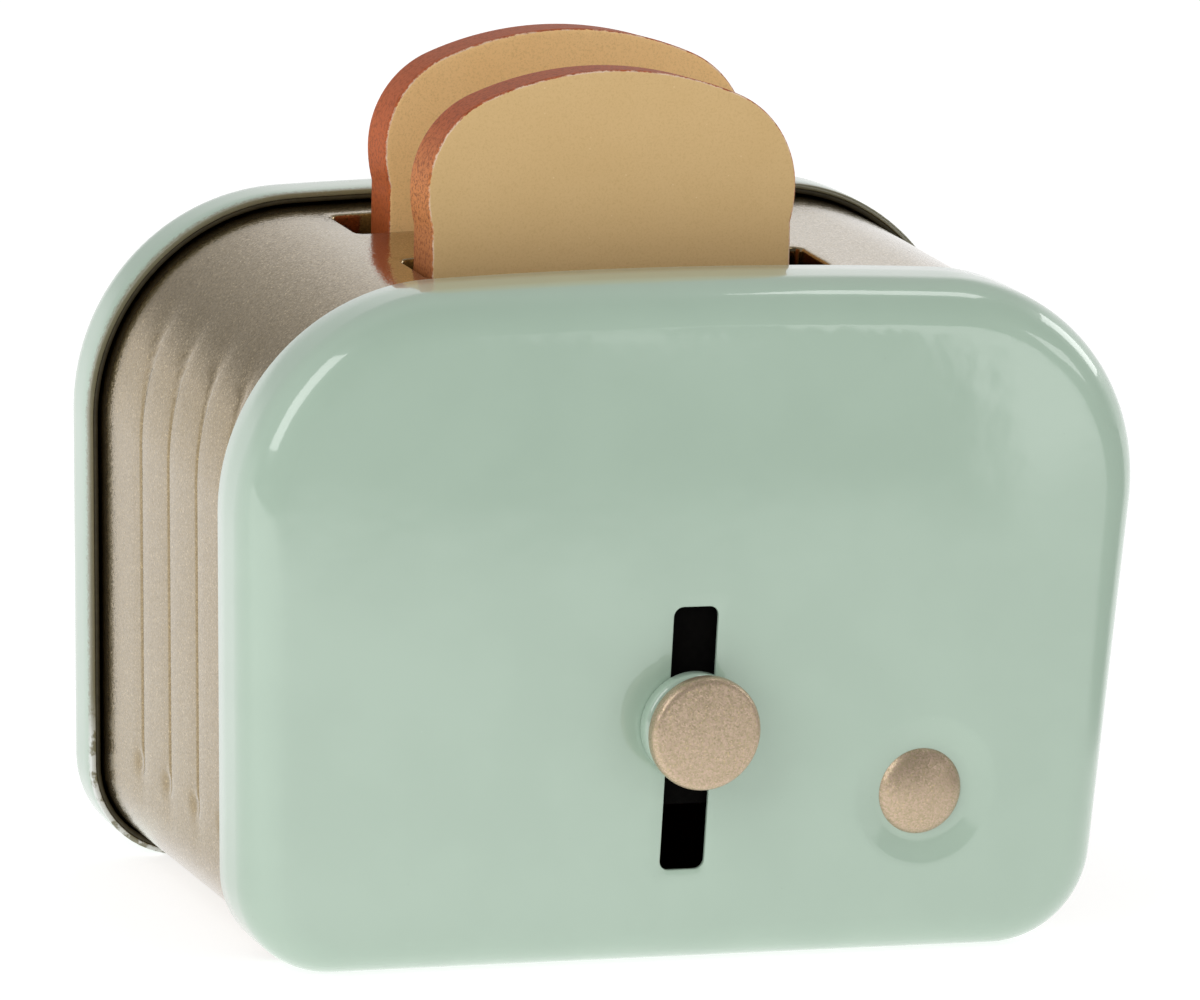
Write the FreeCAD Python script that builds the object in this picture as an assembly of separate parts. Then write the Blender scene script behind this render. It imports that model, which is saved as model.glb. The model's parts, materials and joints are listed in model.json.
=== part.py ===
import FreeCAD, Part
import math
import os

# Toy toaster: a pressed sheet-metal body with a lever that raises two slices of play bread.
# X runs to the right, the front panel faces -Y and Z is up. Sizes are in millimetres.

# Body outline, shared by the two panels and, set inwards, by the band between them
panel_height = 50.0
shoulder_width = 70.0
base_width = 64.6
top_rise = 1.5
top_corner_radius = 15.7
bottom_corner_radius = 7.4
body_depth = 42.0

# Pressed panels
sheet = 0.4
flange_depth = 6.5
rolled_edge_radius = 3.0

# Band round the body
band_sheet = 0.4
band_fit = 0.5
band_edge_gap = 0.3
seam_gap = 0.3

# Pressed creases on the two ends of the band
crease_count = 4
crease_pitch = 5.6
crease_first_depth = 24.0
crease_bottom = 10.6
crease_top = 40.6
crease_radius = 0.55
crease_press = 0.22

# Bread slots in the top of the band
slot_length = 30.8
slot_width = 6.2
slot_pitch = 15.0
slot_centre_x = -2.3
slot_corner_radius = 1.2
slot_lip_drop = 2.4

# Play bread
slice_width = 28.1
slice_waist_width = 27.4
slice_height = 29.65
slice_thickness = 4.0
slice_crown_radius = 25.0
slice_shoulder_radius = 7.2
slice_foot_radius = 2.0
slice_waist_height = 18.5
slice_lean = 6.0
front_slice_x = -3.4
rear_slice_x = -1.3

# Lever slot in the front panel
lever_slot_width = 3.4
lever_slot_bottom = 7.25
lever_slot_top = 26.65
lever_slot_corner = 0.7
lever_height = 18.1

# Knob, its collar and the rivet through them
knob_radius = 4.17
knob_proud = 3.9
knob_thickness = 1.4
knob_rim_round = 0.56
knob_dome = 0.17
collar_radius = 3.9
collar_thickness = 1.25
collar_round = 0.55
collar_lift = 0.25
neck_radius = 2.3
stem_radius = 1.5
stem_clearance = 0.05
rivet_head_radius = 3.3
rivet_head_thickness = 0.5
tail_head_radius = 2.1
tail_head_height = 0.7
washer_radius = 2.7
washer_thickness = 0.4
spring_thickness = 0.2
spring_bow = 0.35

# Slider and its rails behind the front panel
slide_clearance = 0.1
slider_thickness = 0.5
slider_half_width = 4.9
slider_below_lever = 6.1
slider_above_lever = 9.4
rail_sheet = 0.4
rail_side_gap = 0.2
rail_lip = 1.1
rail_foot = 2.6
rail_bottom = 3.4
rail_top = 36.5

# Carriage that carries the bread
bracket_sheet = 0.6
bracket_half_width = 3.5
bracket_bend_radius = 1.2
bracket_tongue_margin = 0.2
tray_sheet = 0.5
tray_end_margin = 0.5
tray_front_shelf = 3.4
tray_rear_margin = 1.0
trough_clearance = 0.5
trough_wall_height = 2.6
tray_floor_height = 33.1
crumb_hole_radius = 1.3
crumb_hole_count = 4
crumb_hole_pitch = 6.4
tray_rivet_spacing = 4.2
tray_rivet_radius = 0.6
small_head_radius = 1.0
small_head_height = 0.4

# Button stud in its dished recess
button_x = 18.5
button_height = 12.3
button_radius = 3.1
button_dome = 1.1
recess_rim_radius = 5.3
recess_floor_radius = 4.1
recess_depth = 1.3
recess_round = 0.7
button_shank_radius = 1.4
button_tail_radius = 2.0

# Strap over the seam in the underside, with its rivets
strap_half_width = 4.2
strap_margin = 4.0
seam_rivet_rows = 3
seam_rivet_pitch = 9.5
seam_rivet_radius = 0.5
seam_rivet_offset = 2.4

# Clips that join each panel to the band
clip_width = 5.0
clip_sheet = 0.5
clip_bend_radius = 2.0
clip_face_leg = 5.0
clip_band_leg = 9.0
clip_top_x = 12.0
clip_bottom_x = 20.0
clip_seat = 0.02

# How far a cutter reaches past what it cuts
cut_margin = 1.0

os.makedirs("parts", exist_ok=True)

V = FreeCAD.Vector
front_y = -(body_depth + knob_proud) / 2 + knob_proud
rear_y = front_y + body_depth
middle_y = (front_y + rear_y) / 2
side_lean = math.atan2((shoulder_width - base_width) / 2, panel_height - top_rise)
up = V(0, 0, 1)
rearward = V(0, 1, 0)


def save(shape, name):
    """Write one piece as a STEP file named after its node."""
    cleaned = shape.removeSplitter()
    if not cleaned.isValid():
        raise ValueError(name + " is not a valid solid")
    cleaned.exportStep("parts/" + name + ".step")
    print(name, "solids", len(cleaned.Solids), "volume", round(cleaned.Volume, 2))


def fuse_all(shapes):
    """Join a list of overlapping solids into one."""
    joined = shapes[0]
    for shape in shapes[1:]:
        joined = joined.fuse(shape)
    return joined


def box(x_low, x_high, y_low, y_high, z_low, z_high):
    return Part.makeBox(x_high - x_low, y_high - y_low, z_high - z_low, V(x_low, y_low, z_low))


def outline_corner(corner, before, after, radius):
    """Tangent points and middle point of the arc that rounds one corner."""
    towards_before = (before - corner).normalize()
    towards_after = (after - corner).normalize()
    half_angle = towards_before.getAngle(towards_after) / 2
    setback = radius / math.tan(half_angle)
    bisector = (towards_before + towards_after).normalize()
    centre = corner + bisector * (radius / math.sin(half_angle))
    return corner + towards_before * setback, centre - bisector * radius, corner + towards_after * setback


def top_arch(inset):
    """Centre height and radius of the gentle arch along the top, set inwards by inset."""
    half = shoulder_width / 2
    radius = (half * half + top_rise * top_rise) / (2 * top_rise)
    return panel_height - radius, radius - inset


def top_height(x, inset=0.0):
    """Height of the arched top at x, between its two corners."""
    centre_z, radius = top_arch(inset)
    return centre_z + math.sqrt(radius * radius - x * x)


def top_corner_centre(y):
    """Centre of the right top corner, one radius inside both the leaning side and the arch."""
    centre_z, reach = top_arch(top_corner_radius)
    slope = math.tan(side_lean)
    foot_x = base_width / 2 - top_corner_radius / math.cos(side_lean)
    square = 1 + slope ** 2
    half_sum = centre_z - foot_x * slope
    product = foot_x ** 2 + centre_z ** 2 - reach ** 2
    z = (half_sum + math.sqrt(half_sum ** 2 - square * product)) / square
    return V(foot_x + slope * z, y, z)


def body_outline(inset, y):
    """Closed outline of the body in the plane at y, set inwards by inset all the way round."""
    side_shift = inset / math.cos(side_lean)
    centre_z, arch_radius = top_arch(inset)

    def side_x(z):
        return base_width / 2 + z * math.tan(side_lean) - side_shift

    corner_radius = top_corner_radius - inset
    side_normal = V(math.cos(side_lean), 0, -math.sin(side_lean))
    centre = top_corner_centre(y)
    on_side = centre + side_normal * corner_radius
    arch_direction = V(centre.x, 0, centre.z - centre_z).normalize()
    on_arch = centre + arch_direction * corner_radius
    middle = centre + (side_normal + arch_direction).normalize() * corner_radius
    crown = V(0, y, centre_z + arch_radius)

    bottom = outline_corner(V(side_x(inset), y, inset), V(0, y, inset), on_side,
                            bottom_corner_radius - inset)
    right = [bottom[0], bottom[1], bottom[2], on_side, middle, on_arch]
    left = [V(-p.x, p.y, p.z) for p in right]
    edges = [
        Part.LineSegment(left[0], right[0]),
        Part.Arc(right[0], right[1], right[2]),
        Part.LineSegment(right[2], right[3]),
        Part.Arc(right[3], right[4], right[5]),
        Part.Arc(right[5], crown, left[5]),
        Part.Arc(left[5], left[4], left[3]),
        Part.LineSegment(left[3], left[2]),
        Part.Arc(left[2], left[1], left[0]),
    ]
    return Part.Wire([edge.toShape() for edge in edges])


def body_block(inset, y_start, y_end):
    """Solid with the body's outline between two planes."""
    return Part.Face(body_outline(inset, y_start)).extrude(V(0, y_end - y_start, 0))


def rounded_slot(x_mid, length, y_mid, width, z_low, z_high, corner):
    """Upright solid with a rounded rectangle as its plan, for the bread slots."""
    block = box(x_mid - length / 2, x_mid + length / 2, y_mid - width / 2, y_mid + width / 2, z_low, z_high)
    upright = [e for e in block.Edges if abs(e.Vertexes[0].Z - e.Vertexes[1].Z) > corner]
    return block.makeFillet(corner, upright)


def revolve_about_depth(points, x, z):
    """Turn a closed profile of (radius, y) points about an axis along Y through x and z."""
    corners = [V(x + radius, y, z) for radius, y in points]
    profile = Part.Face(Part.makePolygon(corners + [corners[0]]))
    return profile.revolve(V(x, 0, z), rearward, 360)


def depth_cylinder(radius, y_start, y_end, x, z):
    """Round bar along Y."""
    return Part.makeCylinder(radius, y_end - y_start, V(x, y_start, z), rearward)


def dome(radius, rise, y_base, x, z):
    """Shallow spherical cap turned about Y, its flat side facing the rear."""
    ball_radius = (radius * radius + rise * rise) / (2 * rise)
    half_angle = math.asin(radius / ball_radius) / 2
    apex = V(x, y_base - rise, z)
    on_arc = apex + V(ball_radius * math.sin(half_angle), ball_radius * (1 - math.cos(half_angle)), 0)
    rim = V(x + radius, y_base, z)
    centre = V(x, y_base, z)
    edges = [Part.Arc(apex, on_arc, rim), Part.LineSegment(rim, centre), Part.LineSegment(centre, apex)]
    profile = Part.Face(Part.Wire([edge.toShape() for edge in edges]))
    return profile.revolve(V(x, 0, z), rearward, 360)


# Panels

def pressed_panel():
    """Open pan with a rolled front edge and a straight flange, its face at front_y."""
    def pan(inset, y_face, y_end):
        block = body_block(inset, y_face, y_end)
        rim = [e for e in block.Edges if all(abs(v.Y - y_face) < 0.001 for v in e.Vertexes)]
        return block.makeFillet(rolled_edge_radius - inset, rim)

    outside = pan(0, front_y, front_y + flange_depth)
    inside = pan(sheet, front_y + sheet, front_y + flange_depth + sheet)
    return outside.cut(inside)


def front_panel():
    """Front panel with the lever slot and the dished recess for the button."""
    panel = pressed_panel()
    cutter = box(-lever_slot_width / 2, lever_slot_width / 2, front_y - sheet, front_y + 2 * sheet,
                 lever_slot_bottom, lever_slot_top)
    along_depth = [e for e in cutter.Edges if abs(e.Vertexes[0].Y - e.Vertexes[1].Y) > sheet]
    panel = panel.cut(cutter.makeFillet(lever_slot_corner, along_depth))

    floor_y = front_y + recess_depth
    dish_skin = revolve_about_depth(
        [(0, front_y), (recess_rim_radius + sheet, front_y), (recess_rim_radius + sheet, front_y + sheet),
         (recess_floor_radius + sheet, floor_y + sheet), (0, floor_y + sheet)], button_x, button_height)
    dish_hollow = revolve_about_depth(
        [(0, front_y - sheet), (recess_rim_radius, front_y - sheet), (recess_rim_radius, front_y),
         (recess_floor_radius, floor_y), (0, floor_y)], button_x, button_height)
    panel = panel.fuse(dish_skin).cut(dish_hollow)
    creases = [e for e in panel.Edges if isinstance(e.Curve, Part.Circle)
               and abs(e.Curve.Center.x - button_x) < 0.001
               and any(abs(e.Curve.Radius - radius) < 0.001 and abs(e.Curve.Center.y - y) < 0.001
                       for radius, y in ((recess_rim_radius, front_y), (recess_floor_radius, floor_y)))]
    panel = panel.makeFillet(recess_round, creases)
    return panel.cut(depth_cylinder(button_shank_radius + stem_clearance, front_y, floor_y + 2 * sheet,
                                    button_x, button_height))


save(front_panel(), "front_panel")
save(pressed_panel().mirror(V(0, middle_y, 0), rearward), "rear_panel")


# Band round the body

band_inset = sheet + band_fit
band_front_y = front_y + rolled_edge_radius + band_edge_gap
band_rear_y = rear_y - rolled_edge_radius - band_edge_gap
band_floor_inside = band_inset + band_sheet
slot_ys = [middle_y - slot_pitch / 2, middle_y + slot_pitch / 2]
strap_rivet_ys = [middle_y + (row - (seam_rivet_rows - 1) / 2) * seam_rivet_pitch
                  for row in range(seam_rivet_rows)]


def crease(side, depth, radius, press):
    """One pressed crease: a round-ended bar that follows the end wall and bends over the top corner."""
    y = front_y + depth
    lean = V(math.sin(side_lean), 0, math.cos(side_lean))
    outward = V(math.cos(side_lean), 0, -math.sin(side_lean))
    axis_shift = outward * (radius - press - band_inset)
    start = V(base_width / 2, y, 0) + lean * crease_bottom + axis_shift
    corner = top_corner_centre(y)
    bend_radius = top_corner_radius + radius - press - band_inset
    bend_start = corner + outward * bend_radius
    bend_angle = side_lean + math.asin((crease_top - corner.z) / bend_radius)
    bend_end = corner + V(math.cos(bend_angle - side_lean), 0, math.sin(bend_angle - side_lean)) * bend_radius
    bar = Part.makeCylinder(radius, (bend_start - start).Length, start, lean)
    section = Part.Face(Part.Wire(Part.makeCircle(radius, bend_start, lean)))
    bend = section.revolve(corner, V(0, -1, 0), math.degrees(bend_angle))
    whole = fuse_all([bar, bend, Part.makeSphere(radius, start), Part.makeSphere(radius, bend_end)])
    if side < 0:
        whole = whole.mirror(V(0, 0, 0), V(1, 0, 0))
    return whole


def body_band():
    """Closed band with lipped bread slots in its top and pressed creases on its ends."""
    skin = body_block(band_inset, band_front_y, band_rear_y)
    hollow = body_block(band_inset + band_sheet, band_front_y - cut_margin, band_rear_y + cut_margin)
    band = skin.cut(hollow)
    for y in slot_ys:
        lip = rounded_slot(slot_centre_x, slot_length + 2 * band_sheet, y, slot_width + 2 * band_sheet,
                           panel_height - band_inset - slot_lip_drop, panel_height,
                           slot_corner_radius + band_sheet).common(skin)
        opening = rounded_slot(slot_centre_x, slot_length, y, slot_width,
                               panel_height - 2 * slot_lip_drop, panel_height + cut_margin,
                               slot_corner_radius)
        band = band.fuse(lip).cut(opening)
    ribs = []
    grooves = []
    for side in (-1, 1):
        for number in range(crease_count):
            depth = crease_first_depth - number * crease_pitch
            ribs.append(crease(side, depth, crease_radius + band_sheet, crease_press + band_sheet))
            grooves.append(crease(side, depth, crease_radius, crease_press))
    band = fuse_all([band] + [rib.common(skin) for rib in ribs])
    for groove in grooves:
        band = band.cut(groove)
    band = band.cut(box(-seam_gap / 2, seam_gap / 2, band_front_y - cut_margin, band_rear_y + cut_margin,
                        0, 2 * band_inset))
    for x in (-seam_rivet_offset, seam_rivet_offset):
        for y in strap_rivet_ys:
            band = band.cut(Part.makeCylinder(seam_rivet_radius + stem_clearance, 2 * band_inset, V(x, y, 0)))
    return band


def seam_strap():
    """Flat strap inside the floor that bridges the band's seam."""
    strap = box(-strap_half_width, strap_half_width, band_front_y + strap_margin, band_rear_y - strap_margin,
                band_floor_inside, band_floor_inside + band_sheet)
    for x in (-seam_rivet_offset, seam_rivet_offset):
        for y in strap_rivet_ys:
            strap = strap.cut(Part.makeCylinder(seam_rivet_radius + stem_clearance,
                                                2 * band_sheet, V(x, y, band_floor_inside)))
    return strap


def small_rivet(x, y, z_low, z_high, radius):
    """Upright rivet with a flat head beyond each end of its grip."""
    shank = Part.makeCylinder(radius, z_high - z_low, V(x, y, z_low))
    lower = Part.makeCylinder(small_head_radius, small_head_height, V(x, y, z_low - small_head_height))
    upper = Part.makeCylinder(small_head_radius, small_head_height, V(x, y, z_high))
    return fuse_all([shank, lower, upper])


save(body_band(), "body_band")
save(seam_strap(), "seam_strap")
save(Part.makeCompound([small_rivet(x, y, band_inset, band_floor_inside + band_sheet, seam_rivet_radius)
                        for x in (-seam_rivet_offset, seam_rivet_offset) for y in strap_rivet_ys]),
     "seam_rivets")


# Clips between the panels and the band

def clip(x, seat_z, inward):
    """Bent clip whose short leg lies on the panel's face and whose long leg lies on the band."""
    y_face = front_y + sheet + clip_seat
    outer = box(x - clip_width / 2, x + clip_width / 2, y_face, y_face + clip_band_leg, 0, clip_face_leg)
    bend = [e for e in outer.Edges if all(abs(v.Y - y_face) < 0.001 and v.Z < 0.001 for v in e.Vertexes)]
    outer = outer.makeFillet(clip_bend_radius, bend)
    inner = box(x - clip_width, x + clip_width, y_face + clip_sheet, y_face + 2 * clip_band_leg,
                clip_sheet, 2 * clip_face_leg)
    bend = [e for e in inner.Edges if all(abs(v.Y - y_face - clip_sheet) < 0.001
                                          and abs(v.Z - clip_sheet) < 0.001 for v in e.Vertexes)]
    bent = outer.cut(inner.makeFillet(clip_bend_radius - clip_sheet, bend))
    if inward < 0:
        bent = bent.mirror(V(0, 0, 0), up)
    bent.translate(V(0, 0, seat_z))
    return bent


def panel_clips():
    """Two clips under the top and two on the floor, behind the front panel."""
    top_seat = top_height(clip_top_x + clip_width / 2, band_inset + band_sheet) - clip_seat
    floor_seat = band_floor_inside + clip_seat
    clips = [clip(x, top_seat, -1) for x in (-clip_top_x, clip_top_x)]
    clips += [clip(x, floor_seat, 1) for x in (-clip_bottom_x, clip_bottom_x)]
    return Part.makeCompound(clips)


save(panel_clips(), "front_clips")
save(panel_clips().mirror(V(0, middle_y, 0), rearward), "rear_clips")


# Slider and rails

slider_front_y = front_y + sheet + slide_clearance
slider_rear_y = slider_front_y + slider_thickness


def rail():
    """Stepped strip to the right of the slider: a foot on the panel and a lip over the slider."""
    step_x = slider_half_width + rail_side_gap
    face_y = front_y + sheet
    lip_y = slider_rear_y + slide_clearance
    foot = box(step_x, step_x + rail_foot, face_y, face_y + rail_sheet, rail_bottom, rail_top)
    step = box(step_x, step_x + rail_sheet, face_y, lip_y + rail_sheet, rail_bottom, rail_top)
    lip = box(step_x - rail_lip, step_x + rail_sheet, lip_y, lip_y + rail_sheet, rail_bottom, rail_top)
    return fuse_all([foot, step, lip])


def slider_plate():
    """Flat plate that runs in the rails and closes the lever slot round the stem."""
    plate = box(-slider_half_width, slider_half_width, slider_front_y, slider_rear_y,
                lever_height - slider_below_lever, lever_height + slider_above_lever)
    corners = [e for e in plate.Edges if abs(e.Vertexes[0].Y - e.Vertexes[1].Y) > slider_thickness / 2]
    plate = plate.makeFillet(stem_radius / 2, corners)
    return plate.cut(depth_cylinder(stem_radius + stem_clearance, front_y, slider_rear_y + cut_margin,
                                    0, lever_height))


save(rail(), "rail_right")
save(rail().mirror(V(0, 0, 0), V(1, 0, 0)), "rail_left")
save(slider_plate(), "slider_plate")


# Knob, collar, rivet, spring washer and plain washer

knob_back_y = front_y - knob_proud + knob_thickness
bracket_rear_y = slider_rear_y + bracket_sheet
spring_rear_y = bracket_rear_y + spring_bow + spring_thickness
washer_rear_y = spring_rear_y + washer_thickness
head_front_y = knob_back_y - rivet_head_thickness


def knob_cap():
    """Pressed cap with a rounded rim and a faintly domed face, closed over the rivet's head."""
    rim_y = front_y - knob_proud + knob_dome
    body = depth_cylinder(knob_radius, rim_y, knob_back_y, 0, lever_height)
    rims = [e for e in body.Edges if isinstance(e.Curve, Part.Circle)]
    body = body.makeFillet(knob_rim_round, rims)
    crown = dome(knob_radius - knob_rim_round, knob_dome, rim_y, 0, lever_height)
    body = body.fuse(crown)
    pocket = depth_cylinder(rivet_head_radius + stem_clearance, head_front_y - stem_clearance,
                            knob_back_y + cut_margin, 0, lever_height)
    return body.cut(pocket)


def knob_collar():
    """Collar that hides the slot round the stem, with the neck that carries the knob."""
    collar_rear_y = front_y - collar_lift
    disc = depth_cylinder(collar_radius, collar_rear_y - collar_thickness, collar_rear_y, 0, lever_height)
    front_rim = [e for e in disc.Edges if isinstance(e.Curve, Part.Circle)
                 and abs(e.Curve.Center.y - collar_rear_y + collar_thickness) < 0.001]
    disc = disc.makeFillet(collar_round, front_rim)
    neck = depth_cylinder(neck_radius, knob_back_y, collar_rear_y, 0, lever_height)
    bore = depth_cylinder(stem_radius + stem_clearance, knob_back_y - cut_margin, front_y + cut_margin,
                          0, lever_height)
    return disc.fuse(neck).cut(bore)


def knob_rivet():
    """Rivet from the knob through the slot, slider and bracket, spread behind the washer."""
    head = depth_cylinder(rivet_head_radius, head_front_y, knob_back_y, 0, lever_height)
    stem = depth_cylinder(stem_radius, head_front_y, washer_rear_y, 0, lever_height)
    tail = dome(tail_head_radius, tail_head_height, washer_rear_y, 0, lever_height)
    tail = tail.mirror(V(0, washer_rear_y, 0), rearward)
    return fuse_all([head, stem, tail])


def spring_washer():
    """Dished spring ring that presses the bracket on the slider so the lever stays put."""
    hole = stem_radius + stem_clearance
    return revolve_about_depth(
        [(hole, bracket_rear_y + spring_bow), (washer_radius, bracket_rear_y),
         (washer_radius, bracket_rear_y + spring_thickness), (hole, spring_rear_y)], 0, lever_height)


def tail_washer():
    ring = depth_cylinder(washer_radius, spring_rear_y, washer_rear_y, 0, lever_height)
    return ring.cut(depth_cylinder(stem_radius + stem_clearance, front_y, washer_rear_y + cut_margin,
                                   0, lever_height))


save(knob_cap(), "knob_cap")
save(knob_collar(), "knob_collar")
save(knob_rivet(), "knob_rivet")
save(spring_washer(), "spring_washer")
save(tail_washer(), "tail_washer")


# Carriage: bracket, tray and their rivets

tray_under = tray_floor_height - tray_sheet
# The slices lean back about this height, so that they stay clear of the slots' lips over the whole travel
lean_height = (panel_height - band_inset - slot_lip_drop / 2
               + lever_height - (lever_slot_bottom + lever_slot_top) / 2)
lean_angle = math.radians(slice_lean)
trough_ys = [y - (lean_height - tray_floor_height) * math.sin(lean_angle) for y in slot_ys]
trough_half = slice_thickness / 2 + trough_clearance
tray_length = slot_length + 2 * tray_end_margin
tray_front_y = trough_ys[0] - trough_half - tray_sheet - tray_front_shelf
tray_rear_y = trough_ys[1] + trough_half + tray_sheet + tray_rear_margin
tray_rivet_y = tray_front_y + tray_front_shelf / 2
tongue_end_y = tray_front_y + tray_front_shelf - bracket_tongue_margin


def carriage_bracket():
    """Bent strip: an upright leg on the slider and a tongue that reaches back under the tray."""
    leg_bottom = lever_height - slider_below_lever
    outer = box(-bracket_half_width, bracket_half_width, slider_rear_y, tongue_end_y,
                leg_bottom, tray_under)
    bend = [e for e in outer.Edges if all(abs(v.Y - slider_rear_y) < 0.001
                                          and abs(v.Z - tray_under) < 0.001 for v in e.Vertexes)]
    outer = outer.makeFillet(bracket_bend_radius, bend)
    inner = box(-2 * bracket_half_width, 2 * bracket_half_width, bracket_rear_y, rear_y,
                leg_bottom - cut_margin, tray_under - bracket_sheet)
    bend = [e for e in inner.Edges if all(abs(v.Y - bracket_rear_y) < 0.001
                                          and v.Z > leg_bottom for v in e.Vertexes)]
    bracket = outer.cut(inner.makeFillet(bracket_bend_radius - bracket_sheet, bend))
    bracket = bracket.cut(depth_cylinder(stem_radius + stem_clearance, front_y, rear_y, 0, lever_height))
    for x in (-tray_rivet_spacing / 2, tray_rivet_spacing / 2):
        bracket = bracket.cut(Part.makeCylinder(tray_rivet_radius + stem_clearance, 3 * bracket_sheet,
                                                V(x, tray_rivet_y, tray_under - 2 * bracket_sheet)))
    return bracket


def carriage_tray():
    """Folded tray with one trough for each slice, end lips and round crumb holes."""
    x_low = slot_centre_x - tray_length / 2
    x_high = slot_centre_x + tray_length / 2
    wall_top = tray_floor_height + trough_wall_height
    pieces = [box(x_low, x_high, tray_front_y, tray_rear_y, tray_under, tray_floor_height)]
    for y in trough_ys:
        for side in (-1, 1):
            near = y + side * trough_half
            far = near + side * tray_sheet
            pieces.append(box(x_low, x_high, min(near, far), max(near, far), tray_under, wall_top))
        for end in (x_low, x_high - tray_sheet):
            pieces.append(box(end, end + tray_sheet, y - trough_half - tray_sheet,
                              y + trough_half + tray_sheet, tray_under, wall_top))
    tray = fuse_all(pieces)
    for y in trough_ys:
        for number in range(crumb_hole_count):
            x = slot_centre_x + (number - (crumb_hole_count - 1) / 2) * crumb_hole_pitch
            tray = tray.cut(Part.makeCylinder(crumb_hole_radius, 2 * tray_sheet, V(x, y, tray_under)))
    for x in (-tray_rivet_spacing / 2, tray_rivet_spacing / 2):
        tray = tray.cut(Part.makeCylinder(tray_rivet_radius + stem_clearance, 2 * tray_sheet,
                                          V(x, tray_rivet_y, tray_under)))
    return tray


save(carriage_bracket(), "carriage_bracket")
save(carriage_tray(), "carriage_tray")
save(Part.makeCompound([small_rivet(x, tray_rivet_y, tray_under - bracket_sheet, tray_floor_height,
                                    tray_rivet_radius)
                        for x in (-tray_rivet_spacing / 2, tray_rivet_spacing / 2)]), "tray_rivets")


# Button stud and its washer

recess_floor_y = front_y + recess_depth


def button_stud():
    """Domed stud seated in the recess, its shank spread behind a washer."""
    cap = dome(button_radius, button_dome, recess_floor_y, button_x, button_height)
    tail_y = recess_floor_y + sheet + washer_thickness
    shank = depth_cylinder(button_shank_radius, recess_floor_y - button_dome / 2, tail_y,
                           button_x, button_height)
    tail = dome(button_tail_radius, tail_head_height, tail_y, button_x, button_height)
    tail = tail.mirror(V(0, tail_y, 0), rearward)
    return fuse_all([cap, shank, tail])


def button_washer():
    seat_y = recess_floor_y + sheet
    ring = depth_cylinder(washer_radius, seat_y, seat_y + washer_thickness, button_x, button_height)
    return ring.cut(depth_cylinder(button_shank_radius + stem_clearance, front_y,
                                   seat_y + 2 * washer_thickness, button_x, button_height))


save(button_stud(), "button_stud")
save(button_washer(), "button_washer")


# Bread

def bread_slice(x_mid, y_mid):
    """Slice with a straight lower part, a slight waist and a crowned top, leaning back in its slot."""
    y = y_mid - slice_thickness / 2
    foot_z = tray_floor_height
    top_z = foot_z + slice_height
    half = slice_width / 2
    waist = slice_waist_width / 2
    crown_z = top_z - slice_crown_radius
    shoulder = V(half - slice_shoulder_radius, y, 0)
    shoulder.z = crown_z + math.sqrt((slice_crown_radius - slice_shoulder_radius) ** 2 - shoulder.x ** 2)
    towards_crown = V(shoulder.x, 0, shoulder.z - crown_z).normalize()
    on_crown = shoulder + towards_crown * slice_shoulder_radius
    on_side = shoulder + V(slice_shoulder_radius, 0, 0)
    between = shoulder + (towards_crown + V(1, 0, 0)).normalize() * slice_shoulder_radius
    waist_point = V(waist, y, foot_z + slice_waist_height)
    foot = outline_corner(V(waist, y, foot_z), V(0, y, foot_z), waist_point, slice_foot_radius)
    rise = on_side.z - waist_point.z
    step = half - waist
    swell_radius = (step * step + rise * rise) / (2 * step)
    lean = math.asin(rise / swell_radius) / 2
    swell = V(half - swell_radius + swell_radius * math.cos(lean), y,
              on_side.z - swell_radius * math.sin(lean))
    right = [foot[0], foot[1], foot[2], waist_point, swell, on_side, between, on_crown]
    left = [V(-p.x, p.y, p.z) for p in right]
    edges = [
        Part.LineSegment(left[0], right[0]),
        Part.Arc(right[0], right[1], right[2]),
        Part.LineSegment(right[2], right[3]),
        Part.Arc(right[3], right[4], right[5]),
        Part.Arc(right[5], right[6], right[7]),
        Part.Arc(right[7], V(0, y, top_z), left[7]),
        Part.Arc(left[7], left[6], left[5]),
        Part.Arc(left[5], left[4], left[3]),
        Part.LineSegment(left[3], left[2]),
        Part.Arc(left[2], left[1], left[0]),
    ]
    solid = Part.Face(Part.Wire([e.toShape() for e in edges])).extrude(V(0, slice_thickness, 0))
    solid.rotate(V(0, y_mid, lean_height), V(-1, 0, 0), slice_lean)
    solid.translate(V(x_mid, 0, foot_z - solid.BoundBox.ZMin))
    return solid


save(bread_slice(front_slice_x, slot_ys[0]), "bread_slice_front")
save(bread_slice(rear_slice_x, slot_ys[1]), "bread_slice_rear")
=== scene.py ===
# %% [markdown]
# # A doll-house toaster in pressed, painted tin
#
# The real toy is about seven centimetres wide: two pressed panels in mint enamel hold a champagne band
# between them, a lever with a champagne knob runs in a slot, and two slices of painted fibreboard stand in
# the top. The engineering model gives every piece its place. This lesson dresses it: fine meshes where light
# rolls over an edge, and procedural finishes with the grain, flake and wear of the real thing.

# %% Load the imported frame
import json
import math
import bpy
import bmesh
import numpy as np
from mathutils import Matrix, Vector, geometry


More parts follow.
